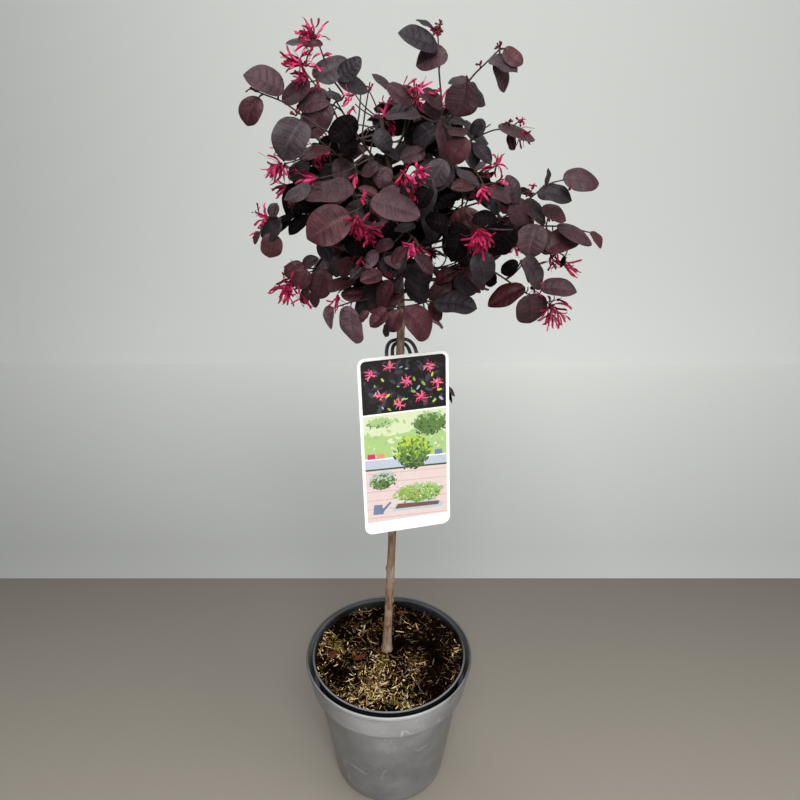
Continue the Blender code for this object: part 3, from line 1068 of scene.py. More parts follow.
@dataclass
class Wood:
    """The trunk and the main boughs, with their bark's relief."""

    trunk: TrunkAxis
    limbs: dict[str, Limb]
    trunk_sides: int = 40
    trunk_rings: int = 420
    bough_sides: int = 14
    bough_rings: int = 60
    scars: int = 13
    seed: int = 5

    def trunk_relief(self, level: float, angle: float, scars: Sequence[Pair]) -> float:
        """How far the trunk's bark stands out at a place.

        Args:
            level: The height.
            angle: The angle round the trunk.
            scars: (height, angle) of each healed pruning scar.

        Returns:
            The relief, as a share of the radius.
        """
        around = Vector((math.cos(angle) * 1.6, math.sin(angle) * 1.6, level * 24.0))
        ridge = 0.06 * noise.noise(around * 1.8) + 0.04 * noise.noise(around * 5.0)
        for height, side in scars:
            turn = math.cos(angle - side)
            ridge += 0.34 * math.exp(-((level - height) / 0.0034) ** 2) * max(0.0, turn) ** 3
        return ridge

    def build_trunk(self) -> None:
        """Makes the trunk from its flat foot to its tip, with ridges and healed scars of cut side shoots."""
        rng = random.Random(self.seed)
        low, high = float(self.trunk.levels[0]), float(self.trunk.levels[-1])
        scars = [(mix_numbers(low + 0.03, 0.64, (k + rng.random() * 0.7) / self.scars),
                  rng.uniform(0.0, FULL_TURN)) for k in range(self.scars)]
        levels = low + (high - low) * np.linspace(0.0, 1.0, self.trunk_rings) ** 1.25
        path = np.array([self.trunk.at(level) for level in levels])
        angles = np.linspace(0.0, FULL_TURN, self.trunk_sides, endpoint=False)
        radii = np.array([[self.trunk.radius(level) * (1 + self.trunk_relief(level, angle, scars))
                           for angle in angles] for level in levels])
        mesher = Mesher()
        add_tube(mesher, path, radii, self.trunk_sides)
        mesher.vertices[0][:self.trunk_sides, 2] = low
        # From 0.64 up, inside the crown, the trunk's bark is darkened nearly to black: painted shade.
        finish = BarkFinish("trunk", seen(92, 70, 56), seen(150, 122, 100), seen(176, 160, 140), 380.0, 0.64)
        mesher.piece("trunk_bark", finish.materials(), "bark", ["trunk"], 60.0)

    def bough_relief(self, number: int, ring: int, angle: float) -> float:
        """How much wider a bough is at a place than its axis says, by its ridges and knots.

        Args:
            number: The bough's number.
            ring: The ring's number.
            angle: The angle round the bough.

        Returns:
            The factor.
        """
        ridges = noise.noise(Vector((math.cos(angle), math.sin(angle), number * 3.1 + ring * 0.35)))
        knots = max(0.0, noise.noise(Vector((ring * 0.22, number * 7.7, 0.0))))
        return 1 + 0.1 * ridges + 0.16 * knots

    def build_boughs(self) -> None:
        """Makes the main boughs, each one limb with a collar at the trunk and knots along it."""
        mesher = Mesher()
        t = np.linspace(0.0, 1.0, self.bough_rings)
        angles = np.linspace(0.0, FULL_TURN, self.bough_sides, endpoint=False)
        for number, limb in enumerate(self.limbs.values()):
            path = curve(limb.start, limb.bend, limb.end, self.bough_rings - 1)
            root = limb.start + (self.trunk.at(limb.start.z) - limb.start).normalized() * limb.thick * 0.6
            path = np.concatenate([[np.array(root)], path])
            radii = (limb.thick + (limb.thin - limb.thick) * t) * (0.5 + 0.5 * np.exp(-t / 0.07))
            radii = np.concatenate([[radii[0] * 1.15], radii])
            relief = np.array([[self.bough_relief(number, ring, angle) for angle in angles]
                               for ring in range(len(radii))])
            add_tube(mesher, path, radii[:, None] * relief, self.bough_sides)
        # The boughs' bark is far darker than the trunk's: painted shade inside the crown.
        finish = BarkFinish("boughs", seen(20, 15, 14), seen(46, 35, 31), seen(54, 46, 40))
        nodes = [f"bough_{name}" for name in self.limbs]
        mesher.piece("bough_bark", finish.materials(), "bark", nodes, 60.0)

    def build(self) -> None:
        """Builds the trunk and the boughs."""
        self.build_trunk()
        self.build_boughs()


@dataclass(frozen=True)
class View:
    """The front view: the camera's place, its slope and its picture, 800 units wide and high."""

    place: Vector = Vector((0.0136, -0.7259, 0.922))
    slope: float = math.radians(27.77)
    side: float = 800.0

    @property
    def upward(self) -> Vector:
        """The picture's upward direction."""
        return Vector((0.0, math.sin(self.slope), math.cos(self.slope)))

    @property
    def inward(self) -> Vector:
        """The direction from the camera into the picture."""
        return Vector((0.0, math.cos(self.slope), -math.sin(self.slope)))

    def point(self, across: float, down: float, depth: float) -> Vector:
        """Finds the point behind a spot of the picture.

        Args:
            across: The spot's distance from the picture's left.
            down: Its distance from the picture's top.
            depth: The point's place on the Y axis.

        Returns:
            The point.
        """
        half = self.side / 2
        ray = self.inward + Vector(((across - half) / self.side, 0.0, 0.0))
        ray += self.upward * ((half - down) / self.side)
        return self.place + ray * ((depth - self.place.y) / ray.y)

    def spot(self, point: Vector) -> Pair:
        """Finds the spot of the picture at which a point is seen.

        Args:
            point: The point.

        Returns:
            How far across and down it is seen.
        """
        away = point - self.place
        scale = self.side / away.dot(self.inward)
        return self.side / 2 + away.x * scale, self.side / 2 - away.dot(self.upward) * scale


@dataclass(frozen=True)
class Leaf:
    """A leaf as the front view shows it: where it starts and ends, and its width in percent of its length."""

    tone: Tone
    from_across: float
    from_down: float
    to_across: float
    to_down: float
    width: float


@dataclass(frozen=True)
class Tuft:
    """Blossom or buds as the front view shows them.

    The petals reach this far from their foot. They spread round an aim, in degrees anticlockwise from the
    right.
    """

    across: float
    down: float
    flowers: int
    reach: float = 0.0
    aim: float = 90.0
    spread: float = 70.0
    buds: int = 0


@dataclass(frozen=True)
class Shoot:
    """A leafy shoot of a mass: its depth in millimetres at both ends and its way through the front view."""

    mass: str
    near_depth: float
    tip_depth: float
    way: tuple[Pair, ...]
    leaves: tuple[Leaf, ...] = ()
    tufts: tuple[Tuft, ...] = ()


# INK in the table below marks leaves painted near-black as shade, where the crown is in shadow.
DUSK, PLUM, WINE, GARNET, SLATE, INK, MAUVE = Tone

SHOOTS = (
    Shoot("top_left", 10, 20, ((344, 96), (331, 76), (318, 42)), (
        Leaf(DUSK, 305, 43, 286, 43, 32), Leaf(SLATE, 337, 78, 368, 92, 48),
        Leaf(SLATE, 336, 78, 361, 58, 58), Leaf(WINE, 323, 44, 307, 46, 46),
        Leaf(DUSK, 313, 77, 347, 59, 62)),
        (Tuft(315, 39, 6, 17, 95, 90), Tuft(308, 46, 3, 14, 175, 60), Tuft(323, 57, 1, 6, 60, 80))),
    Shoot("top_left", -4, 4, ((345, 136), (332, 107), (309, 77)), (
        Leaf(SLATE, 342, 99, 325, 93, 44), Leaf(PLUM, 310, 82, 282, 101, 55),
        Leaf(PLUM, 331, 98, 297, 108, 62), Leaf(PLUM, 328, 101, 306, 137, 70)),
        (Tuft(302, 65, 8, 19, 150, 95), Tuft(308, 76, 4, 15, 190, 70), Tuft(318, 79, 1, 11, 265, 40),
         Tuft(313, 91, 1, 6, 200, 90), Tuft(300, 102, 1, 7, 250, 60))),
    Shoot("left_high", -12, -40, ((363, 151), (323, 129), (303, 116), (283, 102), (263, 94), (250, 88)), (
        Leaf(INK, 356, 118, 330, 140, 70), Leaf(INK, 345, 128, 352, 158, 62),
        Leaf(GARNET, 330, 148, 300, 160, 36), Leaf(WINE, 259, 97, 247, 126, 72),
        Leaf(PLUM, 284, 91, 243, 75, 61), Leaf(DUSK, 302, 120, 283, 160, 82)),
        (Tuft(250, 89, 0, buds=5), Tuft(256, 91, 0, buds=4), Tuft(296, 116, 0, buds=4))),
    Shoot("left_mid", 12, 6, ((352, 158), (315, 156), (288, 163)), (
        Leaf(SLATE, 310, 165, 288, 178, 60), Leaf(SLATE, 333, 165, 322, 180, 75),
        Leaf(PLUM, 342, 158, 341, 184, 94)),
        (Tuft(285, 163, 6, 20, 205, 90), Tuft(318, 152, 4, 12, 160, 120), Tuft(294, 162, 1, 7, 270, 60))),
    Shoot("left_mid", -10, -22, ((372, 160), (345, 172), (320, 178)), (
        Leaf(SLATE, 376, 130, 391, 150, 75), Leaf(PLUM, 378, 163, 362, 176, 62),
        Leaf(PLUM, 388, 167, 379, 188, 88)),
        (Tuft(319, 178, 4, 19, 192, 40), Tuft(357, 172, 1, 14, 262, 20))),
    Shoot("left_wing", -12, -26, ((330, 205), (309, 214), (288, 218), (271, 219)), (
        Leaf(INK, 323, 204, 308, 216, 42), Leaf(INK, 300, 213, 275, 221, 24),
        Leaf(INK, 291, 221, 278, 232, 46), Leaf(INK, 309, 216, 289, 235, 50),
        Leaf(WINE, 273, 233, 269.5, 258, 82), Leaf(DUSK, 271, 217, 277, 203, 75),
        Leaf(SLATE, 281, 221, 261, 237, 70), Leaf(WINE, 260, 232, 254, 244, 42)),
        (Tuft(270, 218, 4, 16, 165, 50), Tuft(259, 229, 1, 8, 230, 50), Tuft(291, 205, 0, buds=7))),
    Shoot("left_wing", -34, -42, ((369, 199), (339, 195), (312, 186)), (
        Leaf(DUSK, 310, 185, 284, 200, 50), Leaf(PLUM, 355, 189, 303, 196, 42))),
    Shoot("front_left", -60, -72, ((372, 203), (357, 210), (346, 214)), (
        Leaf(INK, 357, 228, 356, 256, 85), Leaf(SLATE, 319, 243, 330.5, 262, 58),
        Leaf(WINE, 350, 214, 307, 239, 76)),
        (Tuft(357, 215, 6, 20, 240, 130), Tuft(366, 226, 4, 17, 300, 80), Tuft(359, 205, 2, 10, 80, 60))),
    Shoot("front_mid", -78, -106, ((384, 196), (371, 202)), (
        Leaf(PLUM, 371, 200, 420, 216, 52),)),
    Shoot("front_mid", -62, -84, ((400, 196), (404, 180)), (
        Leaf(GARNET, 378, 196, 358, 188, 44), Leaf(PLUM, 400, 190, 377, 196, 52),
        Leaf(INK, 430, 186, 418, 209, 70)),
        (Tuft(404, 174, 3, 15, 100, 120), Tuft(413, 172, 5, 14, 335, 100), Tuft(399, 176, 1, 11, 262, 40),
         Tuft(412, 186, 3, 15, 290, 70))),
    Shoot("front_mid", -56, -84, ((402, 228), (414, 238)), (
        Leaf(INK, 385, 224, 401, 242, 76), Leaf(SLATE, 415, 224, 394, 231, 42),
        Leaf(WINE, 394, 243, 375, 250, 60), Leaf(PLUM, 434, 270, 414, 257, 54),
        Leaf(WINE, 404, 246, 393, 265, 52)),
        (Tuft(415, 241, 6, 15, 240, 150),)),
    Shoot("left_low", 12, 0, ((345, 274), (325, 270), (305, 269), (292, 280)), (
        Leaf(PLUM, 303, 268, 319, 258, 62), Leaf(PLUM, 311, 292, 316, 308, 58),
        Leaf(WINE, 304, 286, 308, 304, 50), Leaf(WINE, 304, 265, 284, 275, 80),
        Leaf(WINE, 325, 270, 318, 299, 76), Leaf(WINE, 306, 269, 297, 289, 82)),
        (Tuft(292, 284, 9, 20, 222, 85), Tuft(300, 290, 1, 18, 285, 30), Tuft(296, 266, 0, buds=5))),
    Shoot("left_low", -8, -20, ((378, 282), (355, 284), (340, 291)), (
        Leaf(DUSK, 341, 262, 332, 273, 70), Leaf(SLATE, 364, 298, 360, 317, 62),
        Leaf(WINE, 341, 277, 350, 257, 62), Leaf(WINE, 356, 281, 328, 292, 40),
        Leaf(WINE, 363, 293, 341, 295, 66)),
        (Tuft(338, 293, 3, 15, 262, 40),)),
    Shoot("left_low", -22, -28, ((372, 296), (352, 302)), (
        Leaf(MAUVE, 333, 307, 330, 328.5, 42), Leaf(MAUVE, 350.5, 306, 355, 343, 50))),
    Shoot("front_low", -34, -56, ((427, 301), (408, 306), (380, 309)), (
        Leaf(WINE, 369, 311, 361, 322, 60), Leaf(SLATE, 387, 324, 385, 337, 52),
        Leaf(MAUVE, 427, 314, 443, 328, 24), Leaf(GARNET, 428, 304, 441, 320, 60),
        Leaf(WINE, 387, 309, 370, 327, 62), Leaf(WINE, 400, 310, 390, 332, 70),
        Leaf(SLATE, 415, 302, 419, 263, 61), Leaf(SLATE, 434, 302, 477, 309, 50),
        Leaf(WINE, 404, 308, 427.5, 339, 64))),
    Shoot("front_low", -26, -44, ((402, 290), (392, 281), (384, 274)), (
        Leaf(MAUVE, 378, 252, 362, 266, 60), Leaf(MAUVE, 400, 268, 384, 258, 56),
        Leaf(SLATE, 362, 268, 350, 279, 60), Leaf(DUSK, 402, 278, 391, 291, 66),
        Leaf(WINE, 402, 296, 385, 304, 60), Leaf(WINE, 382, 273, 360, 281, 62),
        Leaf(WINE, 392, 282, 378, 307, 52)),
        (Tuft(388, 276, 0, buds=9), Tuft(398, 298, 2, 10, 240, 80), Tuft(362, 256, 2, 11, 250, 90))),
    Shoot("right_foot", -14, -24, ((430, 292), (450, 281), (466, 268)), (
        Leaf(GARNET, 456, 271, 436, 282, 62), Leaf(SLATE, 456, 277, 475, 294, 72),
        Leaf(PLUM, 451, 282, 429, 300, 62), Leaf(PLUM, 466, 268, 484, 290, 52)),
        (Tuft(465, 268, 2, 7, 300, 90, 5), Tuft(447, 282, 0, buds=7))),
    Shoot("right_low", -26, -20, ((492, 271), (526, 293), (547, 302)), (
        Leaf(INK, 518, 262, 501, 273, 70), Leaf(INK, 484, 276, 496, 284, 80),
        Leaf(DUSK, 524, 258, 541, 289, 46), Leaf(SLATE, 520, 260, 529, 283, 30),
        Leaf(GARNET, 525, 287, 488, 306.5, 50), Leaf(PLUM, 540, 288, 577, 292, 50),
        Leaf(PLUM, 530, 294, 531, 323, 90)),
        (Tuft(550, 305, 7, 21, 285, 80), Tuft(528, 287, 2, 12, 335, 40), Tuft(556, 300, 1, 9, 10, 20))),
    Shoot("right_mid", 4, 12, ((499, 225), (546, 226), (566, 227), (592, 233)), (
        Leaf(SLATE, 489, 199, 498, 215, 68), Leaf(DUSK, 522, 204, 546, 223, 44),
        Leaf(WINE, 542, 207, 566, 221, 52), Leaf(WINE, 590, 232, 601, 248.5, 40),
        Leaf(WINE, 546, 251, 580, 240, 64), Leaf(PLUM, 557, 225, 592, 245, 34),
        Leaf(PLUM, 512, 201, 528, 223, 78), Leaf(PLUM, 537, 224, 529, 258.5, 86),
        Leaf(INK, 565, 256, 560, 267, 40)),
        (Tuft(551, 254, 4, 15, 275, 60), Tuft(516, 243, 2, 13, 290, 45), Tuft(548, 208, 1, 11, 290, 20))),
    Shoot("right_wing", -4, -14, ((500, 218), (525, 202), (547, 185), (563, 180)), (
        Leaf(DUSK, 545, 184, 548.5, 168, 32), Leaf(DUSK, 516, 203, 506.5, 175, 50),
        Leaf(SLATE, 537, 193, 572, 201, 50), Leaf(PLUM, 563, 178, 599, 184, 58)),
        (Tuft(569, 179, 2, 7, 40, 140, 4), Tuft(531, 193, 1, 5, 90, 120, 7))),
    Shoot("right_inner", -24, -36, ((462, 213), (470, 196), (482, 185)), (
        Leaf(INK, 461, 193, 433, 210, 40), Leaf(GARNET, 474, 186, 451, 189, 50),
        Leaf(DUSK, 445, 160, 430, 187, 80), Leaf(DUSK, 458, 170, 477, 182, 40),
        Leaf(PLUM, 487, 192, 511, 201, 50)),
        (Tuft(482, 184, 3, 14, 275, 50), Tuft(496, 183, 2, 9, 10, 90))),
    Shoot("front_right", -62, -90, ((462, 214), (474, 219), (480, 227)), (
        Leaf(INK, 450, 226, 425, 218, 68), Leaf(INK, 498, 220, 471, 222, 56),
        Leaf(INK, 514, 228, 496, 254, 76), Leaf(SLATE, 478, 252, 485, 283, 75),
        Leaf(INK, 460, 222, 451, 262, 60)),
        (Tuft(480, 227, 8, 24, 266, 40),)),
    Shoot("right_high", 20, 25, ((472, 140), (494, 130), (508, 130)), (
        Leaf(SLATE, 474, 143, 491, 164, 50), Leaf(SLATE, 473, 136, 483, 119, 80),
        Leaf(SLATE, 472, 142, 473, 169, 48), Leaf(GARNET, 509, 130, 514.5, 150, 44),
        Leaf(PLUM, 498, 127, 535, 140, 28)),
        (Tuft(515, 131, 4, 15, 325, 45), Tuft(509, 123, 0, buds=6), Tuft(519, 121, 1, 6, 30, 40, 4))),
    Shoot("top_right", -8, -26, ((445, 120), (469, 81), (487, 62), (500, 49)), (
        Leaf(PLUM, 468, 132, 447, 131, 40), Leaf(WINE, 466, 137, 451, 165, 80),
        Leaf(DUSK, 470, 84, 448, 83, 42), Leaf(DUSK, 470, 84, 485.5, 105, 42),
        Leaf(DUSK, 490, 58, 517.5, 72.5, 44), Leaf(WINE, 504, 48.5, 522.5, 64.5, 64),
        Leaf(PLUM, 494, 61, 504.5, 92.5, 44), Leaf(PLUM, 466, 82, 455, 117, 94)),
        (Tuft(500, 48, 0, buds=8), Tuft(480, 65, 0, buds=3), Tuft(468, 79, 0, buds=2))),
    Shoot("top_centre", 2, 12, ((440, 120), (439, 69), (438, 36)), (
        Leaf(SLATE, 433, 28, 416, 20, 26), Leaf(SLATE, 437, 127, 413, 142, 72),
        Leaf(PLUM, 425, 151, 400, 159, 60), Leaf(PLUM, 420, 92, 442, 109, 48),
        Leaf(DUSK, 446, 118, 469, 125, 34), Leaf(SLATE, 438, 49, 398, 33, 46),
        Leaf(PLUM, 448, 55, 416, 66, 67), Leaf(PLUM, 441, 118, 448, 169, 29)),
        (Tuft(437, 30, 2, 5, 90, 160, 16), Tuft(440, 25, 0, buds=5), Tuft(438, 100, 1, 9, 120, 90),
         Tuft(440, 50, 0, buds=2), Tuft(440, 66, 0, buds=2))),
    Shoot("crown_top", -8, -4, ((400, 140), (406, 120), (413, 99)), (
        Leaf(SLATE, 380, 148, 400, 161, 36), Leaf(DUSK, 390, 89, 372, 74, 36),
        Leaf(DUSK, 385, 117, 421, 118, 36), Leaf(PLUM, 387, 85, 411, 106, 54)),
        (Tuft(413, 97, 2, 18, 62, 60), Tuft(411, 96, 1, 20, 115, 25))),
    Shoot("crown_top", 2, 6, ((372, 140), (378, 126), (381, 119)), (
        Leaf(PLUM, 357, 124, 342, 131, 62),),
        (Tuft(382, 119, 2, 18, 88, 50), Tuft(385, 121, 2, 12, 325, 40), Tuft(355, 94, 2, 13, 205, 60),
         Tuft(355, 104, 1, 10, 260, 40), Tuft(369, 91, 1, 6, 100, 60))),
    Shoot("crown_top", -6, 2, ((357, 138), (359, 115), (361, 92))),
    Shoot("crown_top", 0, 8, ((364, 140), (364, 120), (370, 82))),
    Shoot("stem", 30, 34, ((408, 397), (430, 393), (449, 389)), (
        Leaf(GARNET, 444, 385, 455, 396, 26), Leaf(INK, 443, 390, 452, 403, 30))),
)

SKY_GAPS = (
    (378, 97, 8), (401, 143, 9), (405, 129, 4), (460, 135, 5), (430, 231, 6), (438, 244, 9), (424, 238, 4),
    (456, 203, 7), (468, 212, 7), (458, 220, 4), (322, 163, 7), (315, 168, 5), (361, 159, 6), (368, 184, 4),
    (478, 206, 6), (503, 262, 5), (504, 280, 6), (305, 250, 12), (330, 86, 6), (358, 108, 4), (441, 261, 6),
    (377, 266, 5), (497, 257, 4), (448, 100, 6), (536, 213, 5), (560, 214, 4), (494, 150, 6), (428, 153, 4))

DENSE_PART = (
    (300, 112), (318, 92), (345, 78), (372, 96), (392, 84), (418, 96), (440, 92), (452, 118), (478, 122),
    (484, 165), (505, 180), (528, 188), (552, 200), (566, 222), (560, 246), (538, 260), (530, 284),
    (504, 284), (482, 296), (462, 308), (430, 318), (404, 322), (376, 316), (348, 298), (322, 296),
    (300, 282), (294, 266), (318, 254), (306, 240), (286, 232), (276, 222), (290, 204), (286, 184),
    (300, 160), (296, 136))


@dataclass
class LeafShape:
    """The blade that all leaves share: a broad blunt oval with slanting side veins, thin but closed."""

    columns: tuple[float, ...] = (-1.0, -0.74, -0.46, -0.2, -0.045, 0.045, 0.2, 0.46, 0.74, 1.0)
    thickness: float = 0.00035
    first_vein: float = 0.08
    vein_step: float = 0.16
    veins: int = 5
    natural: float = 0.76

    def __post_init__(self) -> None:
        """Works out the blade's grid and faces once, with a narrow row along each pair of side veins."""
        steps, slots = [0.0, 0.02], [0, 0]
        for number in range(self.veins):
            vein = self.first_vein + number * self.vein_step
            steps += [vein - 0.012, vein + 0.012, vein + 0.058, vein + 0.106]
            # Slot 3 marks the row beside each vein, which carries the painted shade of its groove.
            slots += [2, 3, 0, 0]
        steps += [0.865, 0.915, 0.955, 0.985, 1.0]
        slots += [0, 0, 0, 0]
        u, width = np.array(steps), len(self.columns)
        self.u, self.v = (grid.ravel() for grid in np.meshgrid(u, np.array(self.columns), indexing="ij"))
        top = np.arange(len(u) * width).reshape(-1, width)
        under = top.copy()
        inner = top[1:-1, 1:-1]
        self.inner = inner.ravel()
        under[1:-1, 1:-1] = top.size + np.arange(inner.size).reshape(inner.shape)
        upper_faces = np.stack([top[:-1, :-1], top[1:, :-1], top[1:, 1:], top[:-1, 1:]], axis=-1)
        lower_faces = np.stack([under[:-1, :-1], under[:-1, 1:], under[1:, 1:], under[1:, :-1]], axis=-1)
        self.faces = np.concatenate([upper_faces.reshape(-1, 4), lower_faces.reshape(-1, 4)])
        rows = np.repeat(np.array(slots)[:, None], width - 1, axis=1)
        rows[:, 0] = rows[:, -1] = 0
        rows[:, width // 2 - 1] = 2
        self.slots = rows.ravel().tolist() + [1] * rows.size
        phase = (self.u - self.first_vein) / self.vein_step
        self.puff = np.abs(np.sin(math.pi * phase)) ** 0.7 * np.abs(self.v) ** 0.6 * (1 - np.abs(self.v) ** 3)

    def blade(self, length: float, width: float, rng: random.Random) -> Array:
        """One blade, lying along +X with its upper side to +Z.

        Args:
            length: Its length.
            width: Its width.
            rng: The random source for its outline, fold, bow and waves.

        Returns:
            Its corners.
        """
        slant = rng.uniform(0.1, 0.19)
        u = self.u ** rng.uniform(0.88, 1.12)
        u = u + slant * np.abs(self.v) * np.sin(math.pi * u)
        blunt, point = rng.uniform(2.1, 2.7), rng.uniform(0.0, 0.42)
        oval = np.clip(1 - np.abs(2 * u ** rng.uniform(0.84, 1.0) - 1) ** blunt, 0.0, 1.0)
        oval = oval ** (0.57 + point * u ** 3) + 0.012
        half = oval * width / 2
        fold, recurve = rng.gauss(0.2, 0.1), rng.gauss(0.14, 0.08)
        bow = rng.gauss(0.22, 0.16)
        wave, phase = rng.uniform(0.0, 0.026), rng.uniform(0.0, FULL_TURN)
        lean = rng.gauss(0.0, 0.045)
        x = u * length
        y = self.v * half + lean * length * np.sin(math.pi * u)
        z = fold * np.abs(self.v) * half - recurve * self.v ** 2 * half + bow * length * (u - u ** 2)
        z = z + wave * length * np.abs(self.v) ** 2 * np.sin(u * 11.0 + phase + self.v)
        z = z + rng.uniform(0.024, 0.046) * length * self.puff * oval
        shift = rng.uniform(0.0, 90.0)
        z = z + 0.026 * length * oval * np.array([noise.noise(Vector((a * 3.4 + shift, b * 1.5, shift)))
                                                  for a, b in zip(u, self.v)])
        z = z - 0.0003 * np.exp(-(self.v / 0.12) ** 2)
        upper = np.stack([x, y, z], axis=1)
        return np.concatenate([upper, upper[self.inner] - np.array([0.0, 0.0, self.thickness])])


@dataclass
class PetalShape:
    """A strap petal: long, narrow, flat and blunt, wavy along and often rolled at its tip."""

    stations: int = 11
    width: float = 0.0021
    thickness: float = 0.0004

    def add(self, mesher: Mesher, rng: random.Random, base: Vector, ahead: Vector, length: float) -> None:
        """Adds one petal.

        Args:
            mesher: What it goes into.
            rng: The random source.
            base: Where it starts.
            ahead: The direction in which it starts.
            length: Its length.
        """
        side = ahead.cross(scatter(rng)).normalized()
        turn, sway = rng.gauss(0.0, 0.16), rng.gauss(0.0, 0.06)
        wave, phase = rng.uniform(0.1, 0.32), rng.uniform(0.0, FULL_TURN)
        droop, twist = rng.uniform(0.0, 0.07), rng.gauss(0.0, 0.16)
        curl = rng.choice((0.0, 0.3, 0.7)) * rng.choice((-1, 1))
        width = self.width * rng.uniform(0.78, 1.12)
        step = length / self.stations
        place, heading = base.copy(), ahead.copy()
        corners = []
        for k in range(self.stations + 1):
            t = k / self.stations
            lift = heading.cross(side).normalized()
            side = lift.cross(heading).normalized()
            half = width / 2 * (0.42 + 0.6 * min(1.0, t / 0.4)) * (0.62 if k == self.stations else 1.0)
            flat = self.thickness / 2
            corners += [place + side * half, place + lift * flat, place - side * half, place - lift * flat]
            bend = turn * 0.6 + curl * max(0.0, t - 0.62) * 1.6 + wave * math.sin(t * 9.0 + phase)
            heading = (heading + lift * bend + side * sway - UP * droop).normalized()
            side = (side + lift * twist).normalized()
            place = place + heading * step
        mesher.add(np.array(corners), tube_faces(self.stations + 1, 4))


class Blossom(Enum):
    """The colours of the blossom, each with its finish."""

    DEEP = PetalFinish("deep", seen(82, 0, 26), seen(124, 8, 48))
    CRIMSON = PetalFinish("crimson", seen(124, 6, 46), seen(168, 26, 78))
    PINK = PetalFinish("pink", seen(160, 28, 78), seen(204, 70, 118))


